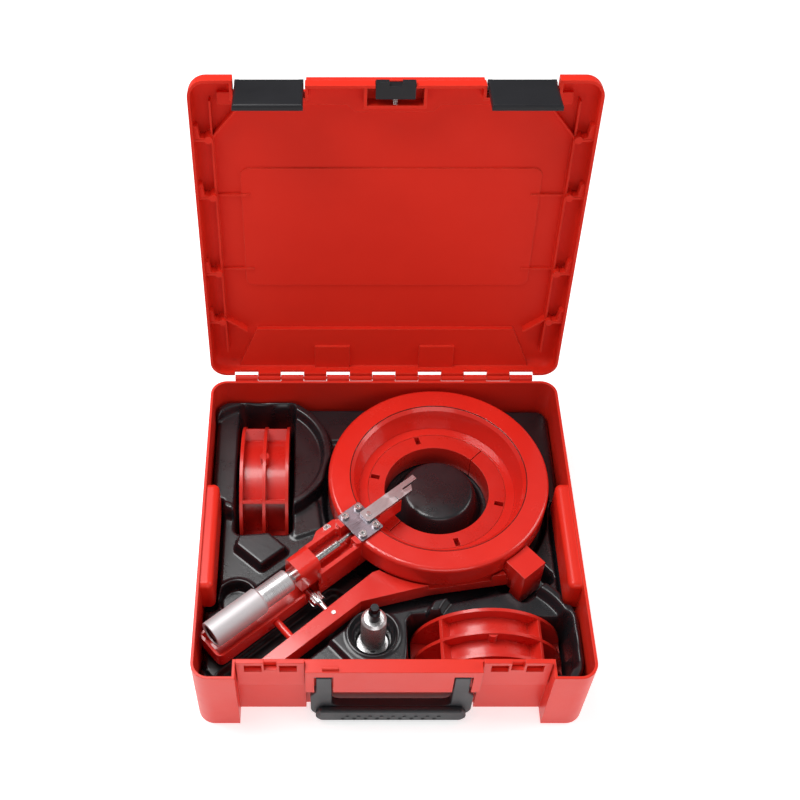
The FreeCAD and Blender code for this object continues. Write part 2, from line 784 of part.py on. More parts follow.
def make_latch(side, sign):
    """A flat latch that hangs over the keeper and swings out about a pin in the lid."""
    half = "latch_width / 2"
    x = (f"{sign}latch_place - {half}", f"{sign}latch_place + {half}")
    y = (FRONT, f"{FRONT} + latch_thick")
    face = box(f"latch_face_{side}", x, y, (f"{LID_LOW} - latch_reach", f"{LID_LOW} + latch_head"))
    pieces = [rounded(
        f"latch_plate_{side}", face, 3,
        lambda edge: edge.BoundBox.YMax < -read("case_depth") / 2 + read("front_set") + 0.1,
    )]
    for end in ("-", "+"):
        edge = f"{sign}latch_place {end} ({half} - 2.5)"
        eye_x = (f"{edge} - 2.5", f"{edge} + 2.5")
        pieces.append(rod(f"latch_eye_{side}_{len(pieces)}", "latch_ear / 2", "x", eye_x, LATCH_PIN_Y, LATCH_PIN_Z))
        eye_y = (f"{FRONT} + 1", LATCH_PIN_Y)
        eye_z = (f"{LATCH_PIN_Z} - latch_ear / 2", f"{LATCH_PIN_Z} + latch_ear / 2")
        pieces.append(box(f"latch_cheek_{side}_{len(pieces)}", eye_x, eye_y, eye_z))
    for hand in ("-", "+"):
        middle = f"{sign}latch_place {hand} keeper_window"
        hook_x = (f"{middle} - keeper_window / 2 + 2", f"{middle} + keeper_window / 2 - 2")
        hook_y = (f"{y[1]} - 1", f"{y[1]} + latch_hook_depth")
        hook_z = ("keeper_window_high - 7", "keeper_window_high - 2")
        pieces.append(box(f"latch_hook_{side}_{len(pieces)}", hook_x, hook_y, hook_z))
    relief = []
    for hand in ("-", "+"):
        middle = f"{sign}latch_place {hand} latch_width / 4"
        room_x = (f"{middle} - latch_ear / 2 - 1", f"{middle} + latch_ear / 2 + 1")
        room_y = (f"{LATCH_PIN_Y} - 2.6 * latch_pin_radius", f"{y[1]} + 9")
        room_z = (f"{LATCH_PIN_Z} - 3.2 * latch_pin_radius", f"{LATCH_PIN_Z} + 3.2 * latch_pin_radius")
        relief.append(box(f"latch_room_{side}_{len(relief)}", room_x, room_y, room_z))
    relief.append(rod(f"latch_hole_{side}", "latch_pin_radius + running_fit", "x", x, LATCH_PIN_Y, LATCH_PIN_Z))
    solid = fused(f"latch_solid_{side}", pieces)
    node(f"latch_{side}", swung_open(cut(f"latch_body_{side}", solid, relief)))
    pin = rod(f"latch_pin_rod_{side}", "latch_pin_radius", "x", x, LATCH_PIN_Y, LATCH_PIN_Z)
    node(f"latch_pin_{side}", opened_rod(pin, f"latch_pin_{side}"))


def opened_rod(piece, name):
    """A rod already lies along X by its own placement, so it is wrapped before it is swung open."""
    return swung_open(fused(f"{name}_group", [piece]))


def make_catch():
    """The spring-loaded catch in the middle of the lid's front."""
    x = ("-catch_half", "catch_half")
    z = (f"{LID_LOW} + seat_clearance", f"{LID_LOW} + catch_tall")
    body = box("catch_block", x, (f"{FRONT} + edge_reach", CATCH_BACK), z)
    pieces = [body]
    for side, sign in SIDES.items():
        horn_x = mirrored_span(sign, "catch_half / 3", "catch_half")
        horn_y = (f"{FRONT} - catch_horn", f"{FRONT} + catch_deep / 2")
        pieces.append(box(f"catch_horn_{side}", horn_x, horn_y, (z[0], f"{z[0]} + catch_tall / 2")))
    pocket_x = ("-spring_half", "spring_half")
    pocket_y = (f"{CATCH_BACK} - spring_dip", f"{CATCH_BACK} + 1")
    pocket = box("catch_pocket", pocket_x, pocket_y, (f"{z[0]} + 1", f"{z[1]} + 1"))
    node("center_catch", swung_open(cut("catch_body", fused("catch_solid", pieces), [pocket])))
    low = f"{CATCH_BACK} - spring_dip"
    middle_z = f"({z[0]} + {z[1]}) / 2"
    leaf = slab("spring_leaf_shape", [
        ("-spring_half", CATCH_SEAT), ("-spring_half", f"{CATCH_SEAT} - 1.4 * spring_leaf"), ("-spring_leaf", low),
        ("spring_leaf", low), ("spring_half", f"{CATCH_SEAT} - 1.4 * spring_leaf"), ("spring_half", CATCH_SEAT),
        ("0", f"{low} + 1.3 * spring_leaf"),
    ], (f"{middle_z} - spring_wide / 2", f"{middle_z} + spring_wide / 2"))
    node("catch_spring", swung_open(group("catch_spring_group", [leaf])))


# ---------------------------------------------------------------- tray
def tray_pockets(name, grow):
    """The hollows of the tray: each is widened and deepened by the given amount."""
    top = "wedge_top + edge_reach"
    fit = f"tray_fit + ({grow})"
    pockets = [drum(f"{name}_ring", f"rotor_radius + {fit}", (f"clamp_low - 2 - ({grow})", top), "tool_x", "tool_y")]
    arm = box(
        f"{name}_arm", ("insert_bore", f"channel_end + 14 + ({grow})"),
        (f"arm_offset - lobe_half - {fit}", f"lever_outer + 2 * tray_fit + ({grow})"),
        (f"jaw_low - 1 - ({grow})", top),
    )
    lug = box(
        f"{name}_lug", (f"-lug_half - 2 * {fit}", f"lug_half + {fit}"), ("insert_bore", f"lug_place + lug_half + {fit}"),
        (f"lug_low - 2 - ({grow})", top),
    )
    jaw = slab(f"{name}_jaw", [
        ("0", "insert_radius"), ("0", "lug_place"), (f"lug_half + {fit}", f"lug_place + {fit}"),
        (f"0.8 * rotor_radius + ({grow})", f"0.8 * rotor_radius + ({grow})"),
        (f"3 * lever_outer + {fit}", f"lever_outer + 3 * tray_fit + ({grow})"), ("3 * lever_outer", "lever_inner"),
        ("insert_radius", "lever_inner"),
    ], (f"jaw_low - 1 - ({grow})", top))
    for part, piece in (("arm", arm), ("lug", lug), ("jaw", jaw)):
        pockets.append(on_tool(group(f"{name}_{part}_turned", [piece])))
    left_x = (f"spare_left_x - spare_width / 2 - {fit}", f"spare_left_x + spare_width / 2 + {fit}")
    left_y = (f"spare_left_y - spare_radius - {fit}", f"spare_left_y + spare_radius + {fit}")
    pockets.append(box(f"{name}_left", left_x, left_y, (f"spare_seat - 0.4 - ({grow})", top)))
    right_x = (f"spare_right_x - spare_radius - {fit}", f"spare_right_x + spare_radius + {fit}")
    right_y = (f"spare_right_y - spare_width / 2 - {fit}", f"spare_right_y + spare_width / 2 + {fit}")
    pockets.append(box(f"{name}_right", right_x, right_y, (f"spare_seat - 0.4 - ({grow})", top)))
    well = (f"adapter_seat - 0.4 - ({grow})", top)
    pockets.append(drum(f"{name}_well", f"adapter_well + ({grow})", well, "adapter_x", "adapter_y"))
    return pockets


def tray_mass(name, inset, grow, low):
    block = case_block(f"{name}_block", inset, low, f"tray_top - ({grow})")
    pad_x = (f"spare_left_x - spare_width / 2 + ({grow})", f"spare_left_x + spare_width / 2 - ({grow})")
    pad = box(f"{name}_wedge", pad_x, (f"-38 + ({grow})", f"4 - ({grow})"), (low, f"wedge_top - ({grow})"))
    carved = cut(f"{name}_carved", fused(f"{name}_blocks", [block, pad]), tray_pockets(name, grow))
    floor = f"clamp_low - 3 - ({grow})"
    dome = cone(
        f"{name}_dome", f"dome_foot - ({grow})", f"dome_head - ({grow})", (floor, f"dome_top - ({grow})"),
        "tool_x", "tool_y",
    )
    return fused(f"{name}_mass", [carved, dome])


def make_tray():
    outer = tray_mass("tray_outside", "shell + tray_gap", "0", "shell + lid_gap")
    inner = tray_mass("tray_inside", "shell + tray_gap + tray_skin", "tray_skin", "shell - edge_reach")
    node("insert_tray", cut("insert_tray_body", outer, [inner]))


# ---------------------------------------------------------------- clamp half of the tool
FLANGE_LOW = "rotor_low - rotor_float - flange_thick"
BOLT_EYE_Y = "lever_inner + bolt_eye + 0.5"
BAR_END = "lever_inner + lever_web - 0.5"
PIN_TOP = "lug_top - jaw_pin_radius"


def make_clamp_body():
    """The fixed clamp: a collar with a flange that the rotor rides on, a channel handle and a hinge lug."""
    top = "rotor_low - rotor_float"
    collar = turned("collar", [
        ("insert_radius + insert_fit", "clamp_low"), ("collar_radius", "clamp_low"), ("collar_radius", FLANGE_LOW),
        ("flange_radius", FLANGE_LOW), ("flange_radius", top), ("lip_bore", top), ("lip_bore", f"{top} - seat_depth"),
        ("insert_radius + insert_fit", f"{top} - seat_depth"),
    ])
    outside = box(
        "channel_outside", ("channel_start", "channel_end"),
        ("arm_offset - channel_half", "arm_offset + channel_half"), ("channel_low", "channel_top"),
    )
    inside = box(
        "channel_inside", ("flange_radius", "channel_end - channel_wall"),
        ("arm_offset - channel_half + channel_wall", "arm_offset + channel_half - channel_wall"),
        ("channel_low + channel_wall", "channel_top + 1"),
    )
    handle = rounded(
        "channel_body", cut("channel", outside, [inside]), 8,
        lambda edge: edge.Length > 20 and edge.BoundBox.XMin > read("channel_end") - 0.1
        and edge.BoundBox.XLength < 0.1 and edge.BoundBox.YLength < 0.1,
    )
    swept = drum("rotor_room", "rotor_radius + rotor_float + 1", (top, "lug_top + 30"))
    bore = drum("channel_bore", "insert_radius + insert_fit", ("clamp_low - 1", top))
    lug_x = ("-lug_half", "lug_half")
    lug = box("lug_block", lug_x, ("lug_place - 1.8 * lug_half", "lug_place + lug_half"), (FLANGE_LOW, "lug_top"))
    foot = box("lug_foot", lug_x, ("lug_place", "lug_place + lug_half"), ("lug_low", FLANGE_LOW))
    foot_gap = drum("lug_foot_gap", "jaw_pin_radius + 9", ("lug_low + 4", f"{FLANGE_LOW} + 0.01"), "0", "lug_place")
    foot_cut = cut("lug_foot_body", foot, [foot_gap])
    pin_bore = drum("lug_bore", "jaw_pin_radius", ("lug_low - 1", PIN_TOP), "0", "lug_place")
    bolt_slot = box(
        "bolt_slot", ("bolt_place - 2.6 * bolt_radius", "bolt_place + 2.6 * bolt_radius"),
        ("arm_offset + channel_half - channel_wall - 1", "arm_offset + channel_half + 1"),
        ("bolt_height - bolt_radius - 1", "channel_top + 1"),
    )
    pieces = cut("clamp_trimmed", fused("clamp_pieces", [handle, lug, foot_cut]), [swept, bore])
    solid = fused("clamp_solid", [collar, pieces])
    node("clamp_body", on_tool(cut("clamp_body_shape", solid, [pin_bore, bolt_slot])))


def make_swing_jaw():
    """The swinging jaw reaches round the front of the collar and ends in the long lever."""
    high = f"{FLANGE_LOW} - jaw_float"
    lever = slab("lever_plate", [
        ("-lug_half + 4", "jaw_radius - 5"), ("-lug_half + 4", "lug_place - jaw_pin_radius"),
        ("lug_half", "lug_place - jaw_pin_radius"), ("0.73 * rotor_radius", "0.7 * rotor_radius"),
        ("lever_outer * 3", "lever_outer"), ("lever_end", "lever_outer"), ("lever_end + 4", "lever_inner"),
        ("1.03 * rotor_radius", "0.9 * lever_inner"), ("0.8 * jaw_radius", "0.4 * jaw_radius"),
    ], ("lever_low", "lever_top"))
    inner_x = ("1.25 * rotor_radius", "lever_end - 4")
    hollow = box(
        "lever_hollow", inner_x, ("lever_inner + lever_web", "lever_outer - lever_web"),
        ("lever_low - 1", "lever_top - lever_web"),
    )
    band = drum("jaw_band", "jaw_radius", ("jaw_low", high), angle="93 - jaw_start")
    band.Placement = FreeCAD.Placement(Vector(), Rotation(Z_AXIS, 1))
    bind(band, Placement__Rotation__Angle="jaw_start")
    place(band, z="jaw_low")
    eye = drum("jaw_eye", "jaw_pin_radius + 7", ("jaw_low", high), "0", "lug_place")
    neck_y = ("0.8 * jaw_radius", "lug_place")
    neck = box("jaw_neck", ("-jaw_pin_radius - 4", "lug_half - 3"), neck_y, ("jaw_low", high))
    above = drum("jaw_above", "rotor_radius + 2", (high, "lever_top + 20"))
    lug_room = box("jaw_lug_room", ("-3 * lug_half", "lug_half + 2"), ("0.8 * jaw_radius", "2 * lug_place"), (high, "lug_top"))
    room = drum("jaw_room", "collar_radius + jaw_float", ("jaw_low - 1", "lever_top + 1"))
    hole = drum("jaw_hole", "jaw_pin_radius + running_fit", ("jaw_low - 1", "lever_top + 1"), "0", "lug_place")
    slot = box(
        "jaw_bolt_slot", ("bolt_place - bolt_eye - 1", "bolt_place + bolt_eye + 1"),
        ("lever_inner - 5", "lever_outer - lever_web"), ("lever_low - 1", "lever_top - lever_web"),
    )
    pin_hole = drum("jaw_pin_hole", "bolt_pin_radius", ("lever_low - 1", "lever_top + 1"), "bolt_place", BOLT_EYE_Y)
    bar_y = ("lever_inner - 4", BAR_END)
    bar_hole = rod("jaw_bar_hole", "bar_radius", "y", bar_y, "bar_place", "bolt_height + 2")
    solid = fused("jaw_solid", [lever, band, eye, neck])
    shape = cut("swing_jaw_shape", solid, [hollow, above, lug_room, room, hole, slot, pin_hole, bar_hole])
    node("swing_jaw", on_tool(shape))
    pin = drum("jaw_pin_rod", "jaw_pin_radius", ("lug_low", PIN_TOP), "0", "lug_place")
    node("jaw_hinge_pin", on_tool(fused("jaw_pin_group", [pin])))


def make_clamping_bolt():
    """A swing bolt on a pin in the lever, with a round nut that pulls it against the channel handle."""
    z = ("bolt_height - bolt_radius - 1", "bolt_height + bolt_radius + 1")
    eye = drum("bolt_eye_ring", "bolt_eye - 1", z, "bolt_place", BOLT_EYE_Y)
    shank_y = ("arm_offset + channel_half - 9", BOLT_EYE_Y)
    shank = rod("bolt_shank", "bolt_radius", "y", shank_y, "bolt_place", "bolt_height")
    hole_z = ("bolt_height - 9", "bolt_height + 9")
    hole = drum("bolt_eye_hole", "bolt_pin_radius + running_fit", hole_z, "bolt_place", BOLT_EYE_Y)
    node("swing_bolt", on_tool(cut("swing_bolt_shape", fused("bolt_solid", [eye, shank]), [hole])))
    nut_start = "arm_offset + channel_half + 0.4"
    blank = rod("nut_blank", "nut_radius", "y", (nut_start, f"{nut_start} + nut_length"), "bolt_place", "bolt_height")
    thread = rod(
        "nut_thread", "bolt_radius + running_fit", "y", (f"{nut_start} - 1", f"{nut_start} + nut_length + 1"),
        "bolt_place", "bolt_height",
    )
    grooves = []
    for i in range(8):
        groove = doc.addObject("Part::Cylinder", f"nut_groove_{i}")
        groove.Placement = FreeCAD.Placement(Vector(), Rotation(X_AXIS, -90))
        bind(groove, Radius="nut_radius / 6", Height="nut_length * 0.7")
        place(
            groove, f"bolt_place + nut_radius * cos({45 * i})", f"{nut_start} + nut_length * 0.15",
            f"bolt_height + nut_radius * sin({45 * i})",
        )
        grooves.append(groove)
    node("clamping_nut", on_tool(cut("clamping_nut_shape", blank, [thread] + grooves)))
    pin = drum("bolt_pin_rod", "bolt_pin_radius", ("lever_low", "lever_top + 1"), "bolt_place", BOLT_EYE_Y)
    node("bolt_pin", on_tool(fused("bolt_pin_group", [pin])))
    bar_y = ("arm_offset + channel_half + 0.4", BAR_END)
    bar = rod("stop_bar_rod", "bar_radius", "y", bar_y, "bar_place", "bolt_height + 2")
    node("stop_bar", on_tool(fused("stop_bar_group", [bar])))


def make_insert_half(name, turn):
    """Half of the split reducing ring that is fitted in the collar."""
    low = "clamp_low"
    boss_top = "rotor_low - rotor_float - 0.2"
    rim_top = "rotor_low - rotor_float - seat_depth - 0.2"
    rim = drum(f"{name}_rim", "insert_radius", (low, rim_top), angle="180")
    boss = drum(f"{name}_boss", "insert_boss", (low, boss_top), angle="180")
    bore = drum(f"{name}_bore", "insert_bore", (f"{low} - 1", f"{boss_top} + 1"))
    split = box(
        f"{name}_split", ("-insert_radius - 1", "insert_radius + 1"), ("-1", "slit / 2"), (f"{low} - 1", f"{boss_top} + 1"),
    )
    tools = [bore, split]
    for i in (1, 2):
        slot = box(
            f"{name}_slot_{i}", ("insert_boss - insert_slot_deep - 1", "insert_boss - 1"),
            ("-insert_slot_width / 2", "insert_slot_width / 2"), (f"{boss_top} - 12", f"{boss_top} + 1"),
        )
        turned_slot = fused(f"{name}_slot_turned_{i}", [slot])
        turned_slot.Placement = FreeCAD.Placement(Vector(), Rotation(Z_AXIS, 60 * i))
        tools.append(turned_slot)
    node(name, on_tool(cut(f"{name}_shape", fused(f"{name}_solid", [rim, boss]), tools), turn))


# ---------------------------------------------------------------- turning half of the tool
BLOCK_END = "arm_end + block_length"
SLIDE_Y = ("arm_offset - slide_half", "arm_offset + slide_half")
PLATE_LOW = "slide_top + 0.1"
PLATE_TOP = "slide_top + 0.1 + plate_thick"


def make_rotor():
    """The cutter ring with its arm, the guide for the blade slide and the block that carries the spindle."""
    blank = turned("rotor_blank", [
        ("rotor_bore", "rotor_low"), ("rotor_radius", "rotor_low"), ("rotor_radius", "rotor_top"),
        ("rotor_bore", "rotor_top"),
    ])
    high = read("rotor_top")
    ring = rounded(
        "rotor_ring_round", blank, read("rotor_round"),
        lambda edge: edge.BoundBox.ZMin > high - 0.1 and edge.BoundBox.XLength > 2 * read("rotor_bore") + 5,
    )
    arm_y = ("arm_offset - arm_half", "arm_offset + arm_half")
    arm = box("arm_block", ("arm_start + 12", "arm_end + 4"), arm_y, ("arm_low", "arm_top"))
    seat = rounded_box(
        "arm_seat", ("plate_place - plate_length / 2", "plate_place + plate_length / 2 + 6"), arm_y,
        ("arm_low", PLATE_LOW), 4,
    )
    lobe = slab("arm_lobe", [
        ("lobe_start - 14", "arm_offset - arm_half + 1"), ("lobe_start", "arm_offset - lobe_half - 4"),
        ("lobe_end - 14", "arm_offset - lobe_half - 4"), ("lobe_end + 6", "arm_offset - arm_half + 1"),
    ], ("arm_low", "arm_floor + 6"))
    trough = rounded_box(
        "arm_trough", ("plate_place + plate_length / 2 + 6", "arm_end"),
        ("arm_offset - arm_half + arm_rail", "arm_offset + arm_half - arm_rail"), ("arm_floor", "arm_top + 1"), 5,
    )
    block_y = ("arm_offset - block_half", "arm_offset + block_half")
    block_blank = box("block_blank", ("arm_end", BLOCK_END), block_y, ("block_low", "block_top"))
    top = read("block_top")
    block = rounded(
        "block_round", block_blank, read("block_round"),
        lambda edge: edge.BoundBox.ZMin > top - 0.1 and edge.BoundBox.XLength > 1,
    )
    guide = box("slide_guide", ("insert_bore", "arm_end - 24"), (
        "arm_offset - slide_half - slide_fit", "arm_offset + slide_half + slide_fit"), ("slide_low - 0.1", "block_top"))
    bore = lie_along_arm(drum("spindle_bore", "spindle_thick + running_fit", ("0", "block_length + 40")), "arm_end - 20")
    clear = drum("rotor_clear", "rotor_bore - 0.01", ("arm_low - 5", "block_top"))
    solid = fused("rotor_solid", [ring, cut("arm_solid", fused("arm_blocks", [arm, seat, lobe, block]), [trough, clear])])
    screw_bores = [
        drum(f"plate_screw_bore_{i}", "screw_shank", (f"{PLATE_LOW} - screw_deep", "block_top"), x, y)
        for i, (x, y) in enumerate(plate_screw_places())
    ]
    lobe_bore = drum("lobe_bore", "screw_shank", ("arm_floor - 4", "arm_top"), *LOBE_SCREW)
    node("rotor_ring", on_tool(cut("rotor_shape", solid, [guide, bore, lobe_bore] + screw_bores)))
    liner_top = "rotor_top - 0.5"
    liner = turned("liner_blank", [
        ("liner_bore", "rotor_low"), ("rotor_bore - 0.01", "rotor_low"), ("rotor_bore - 0.01", liner_top),
        ("rotor_bore - 1", liner_top), ("rotor_bore - 1 - liner_chamfer", f"{liner_top} - liner_chamfer"),
    ])
    gap = box("liner_gap", ("insert_bore", "rotor_radius"), (
        "arm_offset - slide_half - 1", "arm_offset + slide_half + 1"), ("slide_low - 1", "block_top"))
    node("rotor_liner", on_tool(cut("liner_shape", liner, [gap] + screw_bores)))


LOBE_SCREW = ("(lobe_start + lobe_end) / 2 - 6", "arm_offset - lobe_half + 2")


def plate_screw_places():
    places = []
    for along in ("-", "+"):
        for across in ("-", "+"):
            places.append((
                f"plate_place {along} (plate_length / 2 - plate_screw_inset)",
                f"arm_offset {across} (plate_half - plate_screw_inset)",
            ))
    return places


def cap_screw(name, x, y, low):
    """A cap screw with a socket, standing on the height that is given."""
    head = drum(f"{name}_head", "screw_head", (low, f"{low} + screw_head_tall"), x, y)
    shank = drum(f"{name}_shank", "screw_shank", (f"{low} - screw_deep + 1", low), x, y)
    socket = doc.addObject("Part::Prism", f"{name}_socket")
    bind(socket, Circumradius="hex_socket", Height="screw_head_tall")
    place(socket, x, y, f"{low} + screw_head_tall / 2")
    return cut(name, fused(f"{name}_blank", [head, shank]), [socket])


def make_arm_details():
    plate = rounded_box(
        "plate_blank", ("plate_place - plate_length / 2", "plate_place + plate_length / 2"),
        ("arm_offset - plate_half", "arm_offset + plate_half"), (PLATE_LOW, PLATE_TOP), 2,
    )
    holes = [
        drum(f"plate_hole_{i}", "screw_shank", (f"{PLATE_LOW} - 1", f"{PLATE_TOP} + 1"), x, y)
        for i, (x, y) in enumerate(plate_screw_places())
    ]
    node("guide_plate", on_tool(cut("guide_plate_shape", plate, holes)))
    screws = [cap_screw(f"plate_screw_{i}", x, y, PLATE_TOP) for i, (x, y) in enumerate(plate_screw_places())]
    node("guide_plate_screws", on_tool(group("plate_screw_group", screws)))
    lobe_screw = cap_screw("arm_screw_shape", *LOBE_SCREW, "arm_floor + 6")
    node("arm_screw", on_tool(group("arm_screw_group", [lobe_screw])))


def make_blades():
    """The slide under the guide plate and the two flat blades on its nose."""
    slide = box("slide_blank", ("slide_nose", "slide_tail"), SLIDE_Y, ("slide_low", "slide_top"))
    nose_end = "plate_place - plate_length / 2 - slide_retract - 2"
    nose = box("slide_nose_block", ("slide_nose", nose_end), SLIDE_Y, ("slide_top - 1", BLADE_LOW))
    socket = lie_along_arm(drum("slide_socket", "spindle_thin + running_fit", ("0", "30")), "spindle_tip - 12")
    node("blade_slide", on_tool(cut("blade_slide_shape", fused("slide_solid", [slide, nose]), [socket])))
    bar = rounded_box(
        "blade_bar", ("blade_shoulder", "blade_tail"),
        ("arm_offset - blade_half", "arm_offset + blade_half"), (BLADE_LOW, BLADE_TOP), 3,
    )
    prong = box("blade_prong", ("blade_tip", "blade_shoulder + 12"), (
        "arm_offset - blade_half", "arm_offset - blade_half + prong_width"), (BLADE_LOW, BLADE_TOP))
    seat = box("chamfer_seat", ("short_tip", "blade_shoulder + 14"), (
        "arm_offset + blade_half - prong_width - 0.3", "arm_offset + blade_half + 1"), (f"{BLADE_LOW} - 1", f"{BLADE_TOP} + 1"))
    hole = drum("blade_hole", "blade_screw / 2", (f"{BLADE_LOW} - 1", f"{BLADE_TOP} + 1"), "blade_tail - 8", "arm_offset")
    node("cutting_blade", on_tool(cut("cutting_blade_shape", fused("blade_solid", [bar, prong]), [seat, hole])))
    chamfer = slab("chamfer_outline", [
        ("short_tip", "arm_offset + blade_half - prong_width"), ("blade_shoulder + 13.7", "arm_offset + blade_half - prong_width"),
        ("blade_shoulder + 13.7", "arm_offset + blade_half"), ("short_tip + 5", "arm_offset + blade_half"),
    ], (BLADE_LOW, f"{BLADE_TOP} + 0.6"))
    node("chamfer_blade", on_tool(group("chamfer_group", [chamfer])))
    rivet = drum("blade_rivet_head", "blade_screw", (BLADE_TOP, f"{BLADE_TOP} + 0.8"), "blade_tail - 8", "arm_offset")
    stem = drum("blade_rivet_stem", "blade_screw / 2", (BLADE_LOW, BLADE_TOP), "blade_tail - 8", "arm_offset")
    node("blade_rivet", on_tool(fused("blade_rivet_shape", [rivet, stem])))


BLADE_LOW = "slide_top + 0.1 + plate_thick + 0.3"
BLADE_TOP = "slide_top + 0.1 + plate_thick + 0.3 + blade_thick"


def make_spindle():
    """The feed spindle, its barrel on the block and the sleeve that is turned by hand."""
    spindle = turned("spindle_shape", [
        ("0", "0"), ("spindle_thin", "0"), ("spindle_thin", "spindle_step - spindle_tip"),
        ("spindle_thick", "spindle_step - spindle_tip + 2"), ("spindle_thick", "sleeve_end - spindle_tip - cap_deep - 8"),
        ("0", "sleeve_end - spindle_tip - cap_deep - 8"),
    ])
    node("feed_spindle", on_tool(group("spindle_group", [lie_along_arm(spindle, "spindle_tip")])))
    neck = turned("neck_shape", [
        ("spindle_thick + running_fit", "0"), ("neck_radius", "0"), ("neck_radius", "neck_length - 1.5"),
        ("neck_radius - 1.5", "neck_length"), ("spindle_thick + running_fit", "neck_length"),
    ])
    node("spindle_neck", on_tool(group("neck_group", [lie_along_arm(neck, BLOCK_END)])))
    barrel = turned("barrel_shape", [
        ("spindle_thick + running_fit", "0"), ("barrel_radius - 1", "0"), ("barrel_radius", "1"),
        ("barrel_radius", "barrel_end - barrel_start"), ("spindle_thick + running_fit", "barrel_end - barrel_start"),
    ])
    node("scale_barrel", on_tool(group("barrel_group", [lie_along_arm(barrel, "barrel_start")])))
    inside = "barrel_radius + running_fit"
    sleeve = turned("sleeve_shape", [
        (inside, "0"), ("sleeve_radius - 2", "0"), ("sleeve_radius", "2.5"),
        ("sleeve_radius", "sleeve_end - sleeve_start"), ("cap_radius", "sleeve_end - sleeve_start"),
        ("cap_radius", "sleeve_end - sleeve_start - cap_deep"), ("spindle_thick", "sleeve_end - sleeve_start - cap_deep"),
        ("spindle_thick", "sleeve_end - sleeve_start - cap_deep - 5"), (inside, "sleeve_end - sleeve_start - cap_deep - 5"),
    ])
    node("grip_sleeve", on_tool(group("sleeve_group", [lie_along_arm(sleeve, "sleeve_start")])))
    cap = turned("cap_shape", [
        ("0", "0"), ("cap_radius - 0.02", "0"), ("cap_radius - 0.02", "cap_deep - 1"), ("cap_radius - 3", "cap_deep - 1"),
        ("cap_radius - 4", "cap_deep - 2"), ("0", "cap_deep - 2"),
    ])
    node("grip_end_cap", on_tool(group("cap_group", [lie_along_arm(cap, "sleeve_end - cap_deep")])))


# ---------------------------------------------------------------- accessories
def half_shell(name):
    """Half of a reducing ring about Z: three fins on a half tube, with ribs, a saddle and a boss on top."""
    def half_ring(part, outer, low, high, angle="180"):
        blank = drum(f"{name}_{part}", outer, (low, high), angle=angle)
        blank.Placement = FreeCAD.Placement(blank.Placement.Base, Rotation(Z_AXIS, 1))
        bind(blank, Placement__Rotation__Angle="0")
        hole = drum(f"{name}_{part}_hole", "spare_bore", (f"{low} - 1", f"{high} + 1"))
        return cut(f"{name}_{part}_ring", blank, [hole])
    pieces = [half_ring("tube", "spare_bore + spare_wall", "0", "spare_width")]
    for i, low in enumerate(("0", "(spare_width - spare_fin) / 2", "spare_width - spare_fin")):
        pieces.append(half_ring(f"fin_{i}", "spare_radius", low, f"{low} + spare_fin"))
    saddle = half_ring("saddle", "saddle_radius", "0", "spare_width", "180 - 2 * saddle_start")
    bind(saddle.Base, Placement__Rotation__Angle="saddle_start")
    pieces.append(saddle)
    for i, angle in enumerate(("4", "saddle_start", "180 - saddle_start", "176")):
        rib = box(f"{name}_rib_{i}", ("spare_bore + 1", "spare_radius - 0.4"), ("-spare_fin / 2", "spare_fin / 2"), (
            "0.4", "spare_width - 0.4"))
        turned_rib = fused(f"{name}_rib_turned_{i}", [rib])
        turned_rib.Placement = FreeCAD.Placement(Vector(), Rotation(Z_AXIS, 1))
        bind(turned_rib, Placement__Rotation__Angle=angle)
        pieces.append(turned_rib)
    boss = rod(f"{name}_boss", "1.4 * spare_fin", "y", ("spare_bore + 1", "spare_radius - 2"), "0", "spare_width / 2")
    pieces.append(boss)
    return fused(f"{name}_body", pieces)


def make_spares():
    left = half_shell("spare_left")
    left.Placement = FreeCAD.Placement(Vector(), Rotation(Vector(1, 1, 1), 120))
    node("spare_shell_left", place(left, "spare_left_x - spare_width / 2", "spare_left_y", "spare_seat"))
    right = half_shell("spare_right")
    right.Placement = FreeCAD.Placement(Vector(), Rotation(X_AXIS, 90))
    node("spare_shell_right", place(right, "spare_right_x", "spare_right_y + spare_width / 2", "spare_seat"))


def make_adapter():
    """A drive adapter that stands in the round well: body, loose collar, bit and set screw."""
    top = "adapter_top"
    body = turned("adapter_shape", [
        ("bit_radius", "adapter_seat"), ("adapter_shank", "adapter_seat"), ("adapter_shank", "collar_low"),
        ("adapter_radius", "collar_low"), ("adapter_radius", f"{top} - adapter_chamfer"),
        ("adapter_radius - adapter_chamfer", top), ("bit_radius", top),
    ])
    screw_bore = rod(
        "set_screw_bore", "set_screw_radius", "y", ("-adapter_collar - 1", "-bit_radius"), "0", "collar_low + set_screw_rise",
    )
    node("adapter_body", place(cut("adapter_body_shape", body, [screw_bore]), "adapter_x", "adapter_y"))
    collar = turned("adapter_collar_shape", [
        ("adapter_radius + running_fit", "collar_low"), ("adapter_collar", "collar_low"),
        ("adapter_collar", "collar_low + collar_tall"), ("adapter_radius + running_fit", "collar_low + collar_tall"),
    ])
    node("adapter_collar", place(group("adapter_collar_group", [collar]), "adapter_x", "adapter_y"))
    bit = turned("bit_shape", [
        ("0", "adapter_seat + 8"), ("bit_radius - 0.02", "adapter_seat + 8"), ("bit_radius - 0.02", "adapter_top"),
        ("bit_radius", "adapter_top + 1"), ("bit_radius", "bit_top - 10"), ("bit_radius - 2", "bit_top - 8"),
        ("bit_radius - 2", "bit_top"), ("0", "bit_top"),
    ])
    node("adapter_bit", place(group("bit_group", [bit]), "adapter_x", "adapter_y"))
    screw = rod(
        "set_screw_rod", "set_screw_radius - 0.02", "y", ("-adapter_radius + 0.4", "-bit_radius - 0.4"), "0",
        "collar_low + set_screw_rise",
    )
    node("adapter_set_screw", place(group("set_screw_group", [screw]), "adapter_x", "adapter_y"))


